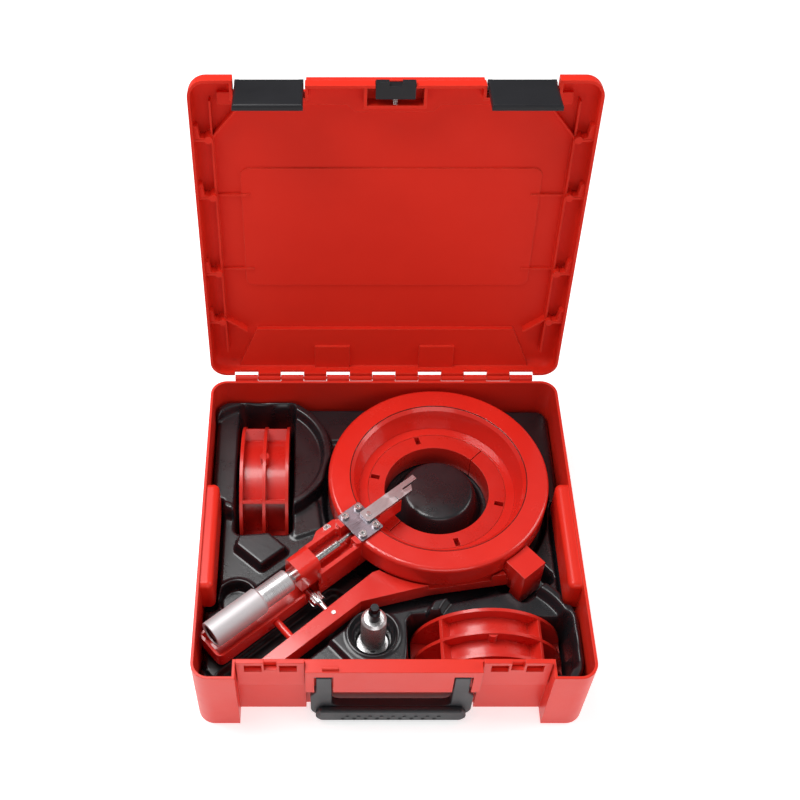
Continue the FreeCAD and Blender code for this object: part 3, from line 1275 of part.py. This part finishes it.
make_base()
make_hinge_pin()
make_handle()
make_lid()
for side, sign in SIDES.items():
    make_latch(side, sign)
make_catch()
make_tray()
make_clamp_body()
make_swing_jaw()
make_clamping_bolt()
make_insert_half("insert_half_rear", "45 - arm_angle")
make_insert_half("insert_half_front", "225 - arm_angle")
make_rotor()
make_arm_details()
make_blades()
make_spindle()
make_spares()
make_adapter()

doc.recompute()
for piece in doc.Objects:
    if "Invalid" in piece.State or "Error" in piece.State:
        raise RuntimeError(f"{piece.Name} ({piece.Label}) failed: {piece.State}")
for name, piece in NODES.items():
    if piece.Shape.isNull() or not piece.Shape.isValid() or not piece.Shape.Solids:
        raise RuntimeError(f"{name} has no valid solid")

os.makedirs("parts", exist_ok=True)
for name, piece in NODES.items():
    piece.Shape.exportStep(f"parts/{name}.step")
    box_of = piece.Shape.BoundBox
    print(f"{name:20s} solids {len(piece.Shape.Solids)} volume {piece.Shape.Volume / 1000:9.2f} cm3 "
          f"x {box_of.XMin:7.1f} {box_of.XMax:7.1f} y {box_of.YMin:7.1f} {box_of.YMax:7.1f} "
          f"z {box_of.ZMin:6.1f} {box_of.ZMax:6.1f}")
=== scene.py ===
import math
import bmesh
import bpy
import numpy as np
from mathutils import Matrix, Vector


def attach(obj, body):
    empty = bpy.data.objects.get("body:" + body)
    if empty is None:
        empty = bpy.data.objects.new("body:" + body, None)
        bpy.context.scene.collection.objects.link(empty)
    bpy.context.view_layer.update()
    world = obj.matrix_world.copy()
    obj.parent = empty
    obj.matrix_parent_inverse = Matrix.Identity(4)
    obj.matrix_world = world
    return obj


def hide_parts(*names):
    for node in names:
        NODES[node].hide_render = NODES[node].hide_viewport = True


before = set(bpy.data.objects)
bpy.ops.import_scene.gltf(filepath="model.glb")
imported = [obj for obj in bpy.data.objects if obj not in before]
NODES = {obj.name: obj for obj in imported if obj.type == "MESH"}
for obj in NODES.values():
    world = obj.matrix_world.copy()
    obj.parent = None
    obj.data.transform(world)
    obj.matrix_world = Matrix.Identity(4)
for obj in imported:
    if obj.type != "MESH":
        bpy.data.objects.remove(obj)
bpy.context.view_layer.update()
MM = 0.001

# The tool's place in the case, in millimetres, and the direction of its arm
TOOL = (62.0, 62.0)
ARM_ANGLE = math.radians(220)

# The lid's hinge line, in millimetres, and how far the lid stands open
HINGE_Y, HINGE_Z, OPEN = 210.6, 116.0, math.radians(98.4)


def at_tool(along, across):
    """A place given from the ring's centre, along and across the arm, in the case's millimetres."""
    c, s = math.cos(ARM_ANGLE), math.sin(ARM_ANGLE)
    return Vector((TOOL[0] + along * c - across * s, TOOL[1] + along * s + across * c))


def in_open_lid(p):
    """A place in the closed lid, in millimetres, swung to where it stands in the open lid."""
    y, z = p[1] - HINGE_Y, p[2] - HINGE_Z
    c, s = math.cos(OPEN), math.sin(OPEN)
    return (p[0], HINGE_Y + y * c + z * s, HINGE_Z - y * s + z * c)


# ---------------------------------------------------------------- materials
class Finish:
    """A material with a Principled shader, built up by small procedural steps."""

    def __init__(self, name, edge):
        self.material = bpy.data.materials.new(name)
        self.material.use_nodes = True
        self.tree = self.material.node_tree
        self.tree.nodes.clear()
        self.shader = self.node("ShaderNodeBsdfPrincipled")
        out = self.node("ShaderNodeOutputMaterial")
        self.link(self.shader.outputs["BSDF"], out.inputs["Surface"])
        self.place = self.node("ShaderNodeTexCoord").outputs["Object"]
        self.rounding = self.node("ShaderNodeBevel", samples=4)
        self.rounding.inputs["Radius"].default_value = edge

    def node(self, kind, **values):
        made = self.tree.nodes.new(kind)
        for key, value in values.items():
            setattr(made, key, value)
        return made

    def link(self, a, b):
        self.tree.links.new(a, b)

    def set(self, **values):
        for key, value in values.items():
            self.shader.inputs[key.replace("_", " ")].default_value = value
        return self

    def stretched(self, scale, turn=0.0, tilt=0.0):
        """Object coordinates turned about Z, tilted about the new Y and scaled per axis."""
        mapping = self.node("ShaderNodeMapping", vector_type="TEXTURE")
        mapping.inputs["Rotation"].default_value = (0.0, tilt, turn)
        mapping.inputs["Scale"].default_value = [1 / s for s in scale]
        self.link(self.place, mapping.inputs["Vector"])
        return mapping.outputs["Vector"]

    def noise(self, scale, detail=3.0, rough=0.55, vector=None, distortion=0.0):
        made = self.node("ShaderNodeTexNoise")
        made.inputs["Scale"].default_value = scale
        made.inputs["Detail"].default_value = detail
        made.inputs["Roughness"].default_value = rough
        made.inputs["Distortion"].default_value = distortion
        self.link(vector or self.place, made.inputs["Vector"])
        return made.outputs["Fac"]

    def spread(self, source, low, high, start=0.3, end=0.7):
        made = self.node("ShaderNodeMapRange")
        for key, value in (("From Min", start), ("From Max", end), ("To Min", low), ("To Max", high)):
            made.inputs[key].default_value = value
        self.link(source, made.inputs["Value"])
        return made.outputs["Result"]

    def ramp(self, source, stops):
        made = self.node("ShaderNodeValToRGB")
        ramp = made.color_ramp
        while len(ramp.elements) < len(stops):
            ramp.elements.new(0.5)
        for element, (position, colour) in zip(ramp.elements, stops):
            element.position = position
            element.color = (*colour, 1.0)
        self.link(source, made.inputs["Fac"])
        return made.outputs["Color"]

    def mix(self, factor, first, second):
        made = self.node("ShaderNodeMix", data_type="RGBA")
        for socket, value in ((made.inputs[0], factor), (made.inputs[6], first), (made.inputs[7], second)):
            if isinstance(value, bpy.types.NodeSocket):
                self.link(value, socket)
            elif isinstance(value, tuple):
                socket.default_value = (*value, 1.0)
            else:
                socket.default_value = value
        return made.outputs[2]

    def math(self, operation, first, second=0.0, clamp=False):
        made = self.node("ShaderNodeMath", operation=operation, use_clamp=clamp)
        for socket, value in ((made.inputs[0], first), (made.inputs[1], second)):
            if isinstance(value, bpy.types.NodeSocket):
                self.link(value, socket)
            else:
                socket.default_value = value
        return made.outputs[0]

    def edges(self):
        """1 on an edge and 0 on a flat face, from how far the rounded normal leans away from the face."""
        lean = self.node("ShaderNodeVectorMath", operation="DOT_PRODUCT")
        self.link(self.rounding.outputs["Normal"], lean.inputs[0])
        self.link(self.node("ShaderNodeNewGeometry").outputs["Normal"], lean.inputs[1])
        return self.spread(lean.outputs["Value"], 1.0, 0.0, 0.80, 0.99)

    def bump(self, *layers):
        """Rounded edges, then layers of (height, depth in metres, strength), finest last."""
        normal = self.rounding.outputs["Normal"]
        for height, depth, strength in layers:
            made = self.node("ShaderNodeBump")
            made.inputs["Distance"].default_value = depth
            made.inputs["Strength"].default_value = strength
            self.link(height, made.inputs["Height"])
            self.link(normal, made.inputs["Normal"])
            normal = made.outputs["Normal"]
        self.link(normal, self.shader.inputs["Normal"])
        return self


def moulded(name, *args, **kwargs):
    return moulded_finish(name, *args, **kwargs).material


def gap_shaded(name, *args, **kwargs):
    """A gloss casting with painted shade round its rim: a dark band that stands in for the shadow in the gap where it
    sits in the ring.
    """
    f = moulded_finish(name, *args, **kwargs)
    away = f.node("ShaderNodeVectorMath", operation="SUBTRACT")
    away.inputs[1].default_value = (TOOL[0] * MM, TOOL[1] * MM, 0.0)
    flat = f.node("ShaderNodeVectorMath", operation="MULTIPLY")
    flat.inputs[1].default_value = (1.0, 1.0, 0.0)
    size = f.node("ShaderNodeVectorMath", operation="LENGTH")
    f.link(f.place, away.inputs[0])
    f.link(away.outputs["Vector"], flat.inputs[0])
    f.link(flat.outputs["Vector"], size.inputs[0])
    # painted shade: from 105.8 mm out from the ring's axis the liner turns near-black, standing in for the shadow in
    # the gap to the ring
    painted_gap_shade = f.spread(size.outputs["Value"], 0.0, 1.0, 0.1058, 0.1061)
    colour = f.shader.inputs["Base Color"].links[0].from_socket
    f.link(f.mix(painted_gap_shade, colour, (0.02, 0.004, 0.004)), f.shader.inputs["Base Color"])
    return f.material


def moulded_finish(name, dark, light, rubbed, rough, grain=2600.0, coat=0.0, peel=0.0, gloss=0.5, edge=0.0009):
    """Injection-moulded plastic or gloss-coated casting: clouded colour, rubbed edges, fine grain and orange peel."""
    f = Finish(name, edge)
    cloud = f.noise(7.0, 4.0, 0.6)
    body = f.ramp(cloud, ((0.35, dark), (0.68, light)))
    scuffs = f.math("MULTIPLY", f.edges(), f.spread(f.noise(160.0, 5.0, 0.7), 0.1, 0.8), clamp=True)
    f.link(f.mix(scuffs, body, rubbed), f.shader.inputs["Base Color"])
    handled = f.spread(f.noise(26.0, 6.0, 0.65), rough - 0.05, rough + 0.07)
    speck = f.math("MULTIPLY", f.noise(grain, 2.0), 0.05)
    f.link(f.math("ADD", handled, speck), f.shader.inputs["Roughness"])
    f.set(IOR=1.5, Specular_IOR_Level=gloss, Coat_Weight=coat, Coat_Roughness=0.08)
    layers = [(f.noise(grain, 2.0, 0.6), 0.00003, 0.35)]
    if peel:
        layers.insert(0, (f.noise(190.0, 2.0, 0.5), 0.00025, peel))
    return f.bump(*layers)


def metal(name, dark, light, rough, scale, turn=0.0, tilt=0.0, depth=0.00002, anisotropy=0.0, metallic=1.0):
    """Ground, turned or blasted metal. The scale sets which way its fine lines run."""
    f = Finish(name, 0.0003)
    lines = f.noise(1.0, 4.0, 0.7, f.stretched(scale, turn, tilt))
    body = f.ramp(lines, ((0.3, dark), (0.7, light)))
    stain = f.spread(f.noise(45.0, 5.0, 0.65), 0.0, 0.3, 0.5, 0.8)
    f.link(f.mix(stain, body, dark), f.shader.inputs["Base Color"])
    f.link(f.spread(lines, rough - 0.07, rough + 0.1), f.shader.inputs["Roughness"])
    f.set(Metallic=metallic, Anisotropic=anisotropy)
    return f.bump((f.noise(14.0, 2.0), 0.0004, 0.06), (lines, depth, 0.5)).material


CASE_RED = moulded(
    "moulded_case", (0.76, 0.026, 0.013), (0.80, 0.030, 0.014), (0.86, 0.12, 0.07), 0.33,
    peel=0.05, gloss=0.36, edge=0.0013)
LID_RED = moulded(
    "moulded_lid", (0.74, 0.024, 0.011), (0.78, 0.027, 0.012), (0.86, 0.12, 0.07), 0.50,
    peel=0.05, gloss=0.12, edge=0.0013)
CAST_RED = moulded(
    "gloss_casting", (0.70, 0.020, 0.012), (0.77, 0.025, 0.014), (0.84, 0.10, 0.06), 0.20,
    1500.0, 0.5, 0.22, edge=0.0012)
# red nylon, with painted shade: its red is darker than the casting's to stand in for the shadow the inserts sit in; the
# spare shells share it
SHADED_SHELL_RED = moulded(
    "nylon_shell_painted_shade", (0.60, 0.018, 0.011), (0.68, 0.023, 0.013), (0.86, 0.12, 0.07), 0.26,
    1800.0, 0.25, 0.12, edge=0.0007)
DARK = moulded(
    "dark_polyamide", (0.018, 0.019, 0.022), (0.030, 0.031, 0.036), (0.09, 0.09, 0.10), 0.42,
    1700.0, 0.0, 0.1, edge=0.0012)
LATCH = moulded(
    "latch_polyamide", (0.007, 0.007, 0.009), (0.014, 0.014, 0.017), (0.08, 0.08, 0.09), 0.38,
    1700.0, 0.0, 0.1, 0.3, 0.0009)
TRAY = moulded(
    "formed_sheet", (0.009, 0.009, 0.011), (0.016, 0.016, 0.019), (0.05, 0.05, 0.055), 0.26,
    1300.0, 0.3, 0.35, edge=0.0005)
# painted shade: the liner's outer rim is darkened for the shadow in its gap to the ring
LINER_RED = gap_shaded(
    "gloss_liner", (0.70, 0.020, 0.012), (0.77, 0.025, 0.014), (0.84, 0.10, 0.06), 0.20,
    1500.0, 0.5, 0.22, edge=0.0006)
STEEL = metal(
    "ground_steel", (0.20, 0.17, 0.20), (0.34, 0.31, 0.34), 0.30, (60.0, 2600.0, 60.0), ARM_ANGLE, anisotropy=0.3)
BLADE = metal(
    "blade_steel", (0.44, 0.43, 0.44), (0.60, 0.59, 0.60), 0.34, (60.0, 2600.0, 60.0), ARM_ANGLE, anisotropy=0.3)
BRIGHT = metal(
    "bright_steel", (0.68, 0.67, 0.67), (0.86, 0.85, 0.84), 0.20, (2200.0, 260.0, 260.0), ARM_ANGLE)
SLEEVE = metal(
    "blasted_aluminium", (0.60, 0.57, 0.58), (0.72, 0.69, 0.70), 0.52, (3200.0, 3200.0, 3200.0),
    depth=0.00005, metallic=0.5)
SATIN = metal(
    "satin_steel", (0.66, 0.65, 0.65), (0.84, 0.83, 0.83), 0.28, (260.0, 260.0, 2200.0), metallic=0.8)
TURNED = metal(
    "turned_aluminium", (0.78, 0.77, 0.78), (0.92, 0.91, 0.92), 0.30, (3000.0, 40.0, 40.0), ARM_ANGLE,
    anisotropy=0.4, metallic=0.75)
BLACK = metal("blackened_steel", (0.02, 0.02, 0.022), (0.06, 0.06, 0.065), 0.34, (900.0, 900.0, 900.0))


# ---------------------------------------------------------------- carried-over nodes
def dress(name, finish):
    """Gives a CAD node its finish. Its faces share no vertices, so smooth shading stops at the solid's edges."""
    mesh = NODES[name].data
    mesh.materials.clear()
    mesh.materials.append(finish)
    mesh.polygons.foreach_set("use_smooth", [True] * len(mesh.polygons))
    mesh.polygons.foreach_set("material_index", [0] * len(mesh.polygons))


FINISHES = {
    CASE_RED: ("case_base",),
    LID_RED: ("case_lid",),
    DARK: ("carry_handle",),
    LATCH: ("latch_left", "latch_right", "center_catch"),
    CAST_RED: ("clamp_body", "swing_jaw", "stop_bar", "rotor_ring", "blade_slide"),
    LINER_RED: ("rotor_liner",),
    SHADED_SHELL_RED: ("insert_half_rear", "insert_half_front", "spare_shell_left", "spare_shell_right"),
    STEEL: ("hinge_pin", "handle_pin_left", "handle_pin_right", "latch_pin_left", "latch_pin_right", "jaw_hinge_pin",
            "guide_plate"),
    SATIN: ("adapter_body", "adapter_collar"),
    BLADE: ("cutting_blade", "chamfer_blade"),
    BRIGHT: ("catch_spring", "swing_bolt", "clamping_nut", "bolt_pin", "guide_plate_screws", "arm_screw", "blade_rivet",
             "feed_spindle", "spindle_neck"),
    TURNED: ("scale_barrel",),
    SLEEVE: ("grip_sleeve",),
    BLACK: ("grip_end_cap", "adapter_bit", "adapter_set_screw"),
}
for finish, names in FINISHES.items():
    for name in names:
        dress(name, finish)


# ---------------------------------------------------------------- formed tray
def circle(x, y, cx, cy, radius):
    return np.hypot(x - cx, y - cy) - radius


def block(x, y, cx, cy, half_x, half_y, corner, turn=0.0):
    """Signed distance to a block with rounded corners."""
    c, s = math.cos(turn), math.sin(turn)
    u = (x - cx) * c + (y - cy) * s
    v = -(x - cx) * s + (y - cy) * c
    qx = np.abs(u) - half_x + corner
    qy = np.abs(v) - half_y + corner
    return np.hypot(np.maximum(qx, 0), np.maximum(qy, 0)) + np.minimum(np.maximum(qx, qy), 0) - corner


def polygon(x, y, corners, corner=0.0):
    """Signed distance to a closed outline, rounded outwards."""
    nearest = np.full(x.shape, 1e9)
    inside = np.zeros(x.shape, bool)
    for (ax, ay), (bx, by) in zip(corners, corners[1:] + corners[:1]):
        ex, ey = bx - ax, by - ay
        t = np.clip(((x - ax) * ex + (y - ay) * ey) / (ex * ex + ey * ey), 0, 1)
        nearest = np.minimum(nearest, np.hypot(x - ax - t * ex, y - ay - t * ey))
        crosses = (ay > y) != (by > y)
        inside ^= crosses & (x < ax + (y - ay) * ex / (ey if ey else 1e-9))
    return np.where(inside, -nearest, nearest) - corner


def smooth_max(a, b, k):
    h = np.clip(0.5 + 0.5 * (a - b) / k, 0, 1)
    return b * (1 - h) + a * h + k * h * (1 - h)


def smooth_min(a, b, k):
    return -smooth_max(-a, -b, k)


def step(distance, draft):
    """0 outside a shape and 1 well inside it, over the width of a drafted wall with soft corners."""
    t = np.clip(0.5 - distance / draft, 0, 1)
    return t * t * t * (t * (6 * t - 15) + 10)


def raised(height, distance, top, draft):
    """Lifts the sheet to a pad's top inside a shape."""
    share = step(distance, draft)
    return height * (1 - share) + np.maximum(height, top) * share


def sunk(height, distance, floor, draft):
    share = step(distance, draft)
    return height * (1 - share) + np.minimum(height, floor) * share


def tray_height(x, y):
    h = np.full(x.shape, 62.0)
    # gentle plateaus
    right_plateau = polygon(x, y, [
        tuple(at_tool(150, 76)), tuple(at_tool(60, 112)), tuple(at_tool(-20, 150)), (176.0, -52.0),
        (150.0, -92.0), (22.0, -100.0), (12.0, -168.0), (-34.0, -170.0), (-70.0, -130.0)], 4.0)
    h = raised(h, right_plateau, 69.0, 6.0)
    rear_plateau = block(x, y, -40.0, 172.0, 170.0, 26.0, 10.0)
    h = raised(h, rear_plateau, 66.0, 6.0)
    # crescent beside the left shell: a rounded rim round a lower shelf
    left_disc = circle(x, y, -158.0, 118.0, 92.0)
    left_shelf = circle(x, y, -158.0, 118.0, 80.0)
    h = raised(h, left_disc, 82.0, 6.0)
    h = sunk(h, left_shelf, 70.0, 6.0)
    pedestal = polygon(x, y, [(-110.0, 60.0), (-88.0, 52.0), (-84.0, 18.0), (-110.0, 8.0)], 5.0)
    h = raised(h, pedestal, 64.0, 7.0)
    # crescent behind the right shell
    right_disc = circle(x, y, 128.0, -140.0, 92.0)
    right_shelf = circle(x, y, 128.0, -140.0, 79.0)
    h = raised(h, right_disc, 80.0, 6.0)
    h = sunk(h, right_shelf, 64.0, 6.0)
    # pockets
    arm = block(x, y, *at_tool(210, 12), 146.0, 53.0, 14.0, ARM_ANGLE)
    h = sunk(h, arm, 47.0, 8.0)
    h = sunk(h, block(x, y, *at_tool(262, 26), 90.0, 16.0, 10.0, ARM_ANGLE), 40.0, 7.0)
    jaw = polygon(x, y, [tuple(at_tool(*p)) for p in (
        (0, 90), (0, 147), (21, 151), (106, 106), (176, 69), (176, 41), (88, 41))], 2.0)
    h = sunk(h, jaw, 47.0, 7.0)
    h = sunk(h, circle(x, y, *TOOL, 137.5), 44.0, 7.0)
    h = sunk(h, block(x, y, *at_tool(-4, 128), 27.0, 46.0, 8.0, ARM_ANGLE), 36.0, 6.0)
    h = sunk(h, block(x, y, -150.0, 103.0, 34.0, 92.0, 8.0), 8.5, 7.0)
    h = sunk(h, block(x, y, 113.0, -140.0, 92.0, 34.0, 8.0), 8.5, 7.0)
    # wedge between the left shell and the grip
    wedge = polygon(x, y, [(-176.0, -3.0), (-143.0, 0.0), (-125.0, -17.0), (-150.0, -38.0), (-178.0, -13.0)], 4.0)
    h = raised(h, wedge, 77.0, 6.0)
    # small recess near the left wall, with a raised rim
    small = circle(x, y, -178.0, -78.0, 20.0)
    h = raised(h, circle(x, y, -178.0, -78.0, 25.0), 64.0, 5.0)
    h = sunk(h, small, 46.0, 5.0)
    # adapter well
    h = raised(h, circle(x, y, -20.0, -128.0, 31.0), 71.0, 5.0)
    h = sunk(h, circle(x, y, -20.0, -128.0, 26.0), 62.0, 6.0)
    h = sunk(h, circle(x, y, -20.0, -128.0, 20.0), 39.5, 5.0)
    # dome under the ring
    dome = circle(x, y, 64.0, 64.0, 49.0)
    swell = 78.0 - 0.0012 * np.hypot(x - 64, y - 64) ** 2
    share = step(dome, 20.0)
    h = h * (1 - share) + swell * share
    return h


def case_outline(x, y):
    """Distance to the wall of the case, negative inside, with its bays."""
    room = block(x, y, 0.0, 0.0, 216.0, 202.0, 16.0)
    for side in (-1, 1):
        room = np.maximum(room, -block(x, y, side * 133.5, -206.0, 42.2, 24.2, 3.0))
    return np.maximum(room, -block(x, y, 0.0, -206.0, 100.2, 30.2, 3.0))


def make_tray():
    step_x = np.linspace(-216.0, 216.0, 289)
    step_y = np.linspace(-202.0, 202.0, 271)
    x, y = np.meshgrid(step_x, step_y)
    h = tray_height(x, y)
    edge = case_outline(x, y)
    h = h - 9.0 * np.clip((edge + 7.0) / 7.0, 0, 1) ** 2
    for side in (-1, 1):
        well = block(x, y, side * 216.0, -20.0, 16.0, 74.0, 6.0)
        h = sunk(h, well, 52.0, 8.0)
    h = np.where(edge > -0.5, 6.0, h)
    index = np.arange(x.size).reshape(x.shape)
    quads = np.stack([index[:-1, :-1], index[:-1, 1:], index[1:, 1:], index[1:, :-1]], -1).reshape(-1, 4)
    keep = (edge.ravel()[quads] < 2.0).all(axis=1)
    quads = quads[keep]
    used = np.unique(quads)
    renumber = np.full(x.size, -1)
    renumber[used] = np.arange(used.size)
    verts = np.stack([x.ravel(), y.ravel(), h.ravel()], -1)[used] * MM
    mesh = bpy.data.meshes.new("formed_tray")
    mesh.from_pydata(verts.tolist(), [], renumber[quads].tolist())
    mesh.polygons.foreach_set("use_smooth", [True] * len(mesh.polygons))
    mesh.materials.append(TRAY)
    tray = bpy.data.objects.new("formed_tray", mesh)
    bpy.context.scene.collection.objects.link(tray)
    thick = tray.modifiers.new("sheet", "SOLIDIFY")
    thick.thickness = 1.2 * MM
    thick.offset = -1
    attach(tray, "case")
    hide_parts("insert_tray")


make_tray()


# ---------------------------------------------------------------- the catch's coil
def make_coil():
    """A real coil in the place of the simple spring, between the catch and its seat in the open lid."""
    wire, radius, turns, start, end, middle = 0.45, 3.0, 5.0, -185.4, -176.4, 121.2
    ring, steps = 10, 150
    verts, faces = [], []
    for i in range(steps + 1):
        share = i / steps
        angle = share * turns * 2 * math.pi
        centre = Vector((radius * math.cos(angle), start + (end - start) * share, middle + radius * math.sin(angle)))
        out = Vector((math.cos(angle), 0.0, math.sin(angle)))
        for k in range(ring):
            a = 2 * math.pi * k / ring
            p = centre + out * (wire * math.cos(a)) + Vector((0.0, wire * math.sin(a), 0.0))
            verts.append([c * MM for c in in_open_lid(p)])
    for i in range(steps):
        for k in range(ring):
            a, b = i * ring + k, i * ring + (k + 1) % ring
            faces.append((a, b, b + ring, a + ring))
    faces.append(tuple(range(ring - 1, -1, -1)))
    faces.append(tuple(range(steps * ring, (steps + 1) * ring)))
    mesh = bpy.data.meshes.new("catch_coil")
    mesh.from_pydata(verts, [], faces)
    mesh.polygons.foreach_set("use_smooth", [True] * len(mesh.polygons))
    mesh.materials.append(BRIGHT)
    coil = bpy.data.objects.new("catch_coil", mesh)
    bpy.context.scene.collection.objects.link(coil)
    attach(coil, "lid")
    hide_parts("catch_spring")


make_coil()


# ---------------------------------------------------------------- added pieces
def prism(name, outline, low, high, finish, body, width=0.8, place=None, flat="z", stands_for=None):
    """A plate with rounded edges between two levels along z, or along y for an outline in x and z."""
    count = len(outline)
    verts = []
    for level in (low, high):
        for a, b in outline:
            p = (a, b, level) if flat == "z" else (a, level, b)
            verts.append([c * MM for c in (place(p) if place else p)])
    faces = [tuple(range(count)), tuple(range(2 * count - 1, count - 1, -1))]
    faces += [(i, i + count, (i + 1) % count + count, (i + 1) % count) for i in range(count)]
    mesh = bpy.data.meshes.new(name)
    mesh.from_pydata(verts, [], faces)
    fresh = bmesh.new()
    fresh.from_mesh(mesh)
    bmesh.ops.recalc_face_normals(fresh, faces=fresh.faces)
    fresh.to_mesh(mesh)
    fresh.free()
    mesh.materials.append(finish)
    piece = bpy.data.objects.new(name, mesh)
    bpy.context.scene.collection.objects.link(piece)
    if width:
        bevel = piece.modifiers.new("bevel", "BEVEL")
        bevel.width = width * MM
        bevel.segments = 3
        bevel.limit_method = "ANGLE"
        bevel.angle_limit = math.radians(40)
        mesh.polygons.foreach_set("use_smooth", [True] * len(mesh.polygons))
        piece.modifiers.new("normals", "WEIGHTED_NORMAL").keep_sharp = True
    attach(piece, body)
    if stands_for:
        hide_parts(stands_for)


def arc(cx, cy, radius, start, end, steps=8):
    """Points on an arc, in degrees."""
    angles = [math.radians(start + (end - start) * i / steps) for i in range(steps + 1)]
    return [(cx + radius * math.cos(a), cy + radius * math.sin(a)) for a in angles]


def make_handle():
    """The carry handle as one bow with round corners, and bumps for the fingers along its lower edge."""
    outer, inner, foot, bar, top, soft, tight = 91.0, 67.0, 3.0, 27.0, 98.0, 17.0, 10.0
    shoulder, waist, arm = 52.0, 62.0, 84.5
    bend = bar + tight
    outline = [(arm, top), (arm, waist), (outer, shoulder)]
    outline += arc(outer - soft, foot + soft, soft, 0, -90) + arc(-outer + soft, foot + soft, soft, -90, -180)
    outline += [(-outer, shoulder), (-arm, waist), (-arm, top), (-inner, top), (-inner, bend + 6)]
    outline += arc(-inner + tight, bend, tight, 180, 270) + arc(inner - tight, bend, tight, 270, 360)
    outline += [(inner, bend + 6), (inner, top)]
    prism("handle_bow", outline, -197.6, -187.0, DARK, "handle", 1.5, flat="y",
          stands_for="carry_handle")
    grip = [(-80.0, 4.0), (80.0, 4.0), (86.0, 12.0), (80.0, 28.0), (-80.0, 28.0), (-86.0, 12.0)]
    prism("handle_grip", grip, -205.0, -196.0, DARK, "handle", 3.0, flat="y")
    for i in range(9):
        for row, height in enumerate((9.5, 15.5)):
            x = (i - 4) * 13.0 + (row - 0.5) * 5.0
            dot = arc(x, height, 2.2, 0, 330, 11)
            prism(f"handle_bump_{i}_{row}", dot, -205.7, -204.5, DARK, "handle", 0.4, flat="y")


def make_lid_details():
    """Gussets outside the rails and diagonal ribs in the corners. A gusset ends below the lid's rounded edge."""
    rail, wall, reach, gusset_top, half_rib = 201.0, 217.5, 5.0, 131.0, 1.2
    diagonals = (((198.0, -131.0), (166.0, -170.0)), ((198.0, 123.0), (172.0, 143.0)))
    for side in (-1, 1):
        hand = "r" if side > 0 else "l"
        for i, y in enumerate((-131.8, -57.7, 49.4, 123.6)):
            outline = [
                (side * rail, y + 2.2), (side * wall, y + 2.2), (side * wall, y - 19.0),
                (side * (wall - reach), y - 17.0), (side * (wall - 1.4 * reach), y - 3.0), (side * rail, y - 1.6)]
            prism(f"lid_gusset_{i}_{hand}", outline, 121.0, gusset_top, LID_RED, "lid",
                  0.8, in_open_lid)
        for i, ((ax, ay), (bx, by)) in enumerate(diagonals):
            long = math.hypot(bx - ax, by - ay)
            nx, ny = (by - ay) / long * half_rib, -(bx - ax) / long * half_rib
            outline = [(side * (ax + nx), ay + ny), (side * (bx + nx), by + ny), (side * (bx - nx), by - ny),
                       (side * (ax - nx), ay - ny)]
            prism(f"lid_diagonal_{i}_{hand}", outline, 126.0, 137.0, LID_RED, "lid",
                  0.6, in_open_lid)


make_handle()
make_lid_details()


# ---------------------------------------------------------------- studio
def make_floor():
    f = Finish("studio_floor", 0.0)
    shade = f.noise(3.0, 2.0)
    f.link(f.ramp(shade, ((0.3, (0.86, 0.86, 0.86)), (0.7, (0.88, 0.88, 0.88)))), f.shader.inputs["Base Color"])
    f.set(Roughness=0.7, Emission_Color=(1.0, 1.0, 1.0, 1.0), Emission_Strength=0.62)
    mesh = bpy.data.meshes.new("studio_floor")
    size = 6.0
    mesh.from_pydata([(-size, -size, 0), (size, -size, 0), (size, size, 0), (-size, size, 0)], [], [(0, 1, 2, 3)])
    mesh.materials.append(f.material)
    floor = bpy.data.objects.new("studio_floor", mesh)
    floor.location.z = -0.0005
    bpy.context.scene.collection.objects.link(floor)


def soft_light(name, place, target, size, power):
    data = bpy.data.lights.new(name, "AREA")
    data.shape = "RECTANGLE"
    data.size, data.size_y = size
    data.energy = power
    lamp = bpy.data.objects.new(name, data)
    lamp.location = place
    lamp.rotation_euler = (Vector(target) - Vector(place)).to_track_quat("-Z", "Y").to_euler()
    bpy.context.scene.collection.objects.link(lamp)


def make_studio():
    make_floor()
    soft_light("key", (-0.7, 0.4, 1.9), (0.0, 0.0, 0.05), (1.3, 1.1), 36.0)
    soft_light("front_fill", (0.3, -1.9, 1.3), (0.0, 0.0, 0.1), (1.6, 1.0), 7.0)
    soft_light("right_fill", (1.6, 0.1, 1.1), (0.0, 0.0, 0.1), (1.0, 1.0), 10.0)
    world = bpy.data.worlds.new("studio")
    world.use_nodes = True
    world.node_tree.nodes["Background"].inputs["Color"].default_value = (1.0, 1.0, 1.0, 1.0)
    world.node_tree.nodes["Background"].inputs["Strength"].default_value = 0.2
    scene = bpy.context.scene
    scene.world = world
    scene.view_settings.view_transform = "Standard"
    scene.view_settings.look = "None"


def make_camera():
    data = bpy.data.cameras.new("camera")
    # millimetres on the sensor, then shares of its width
    data.sensor_width = 36.0
    data.lens = 54.002
    data.shift_x = 0.08924
    data.shift_y = 0.01674
    camera = bpy.data.objects.new("camera", data)
    camera.location = (-0.07062, -0.76923, 1.30112)
    camera.rotation_euler = (math.radians(37.883), 0.0, 0.0)
    bpy.context.scene.collection.objects.link(camera)
    bpy.context.scene.camera = camera


make_studio()
make_camera()
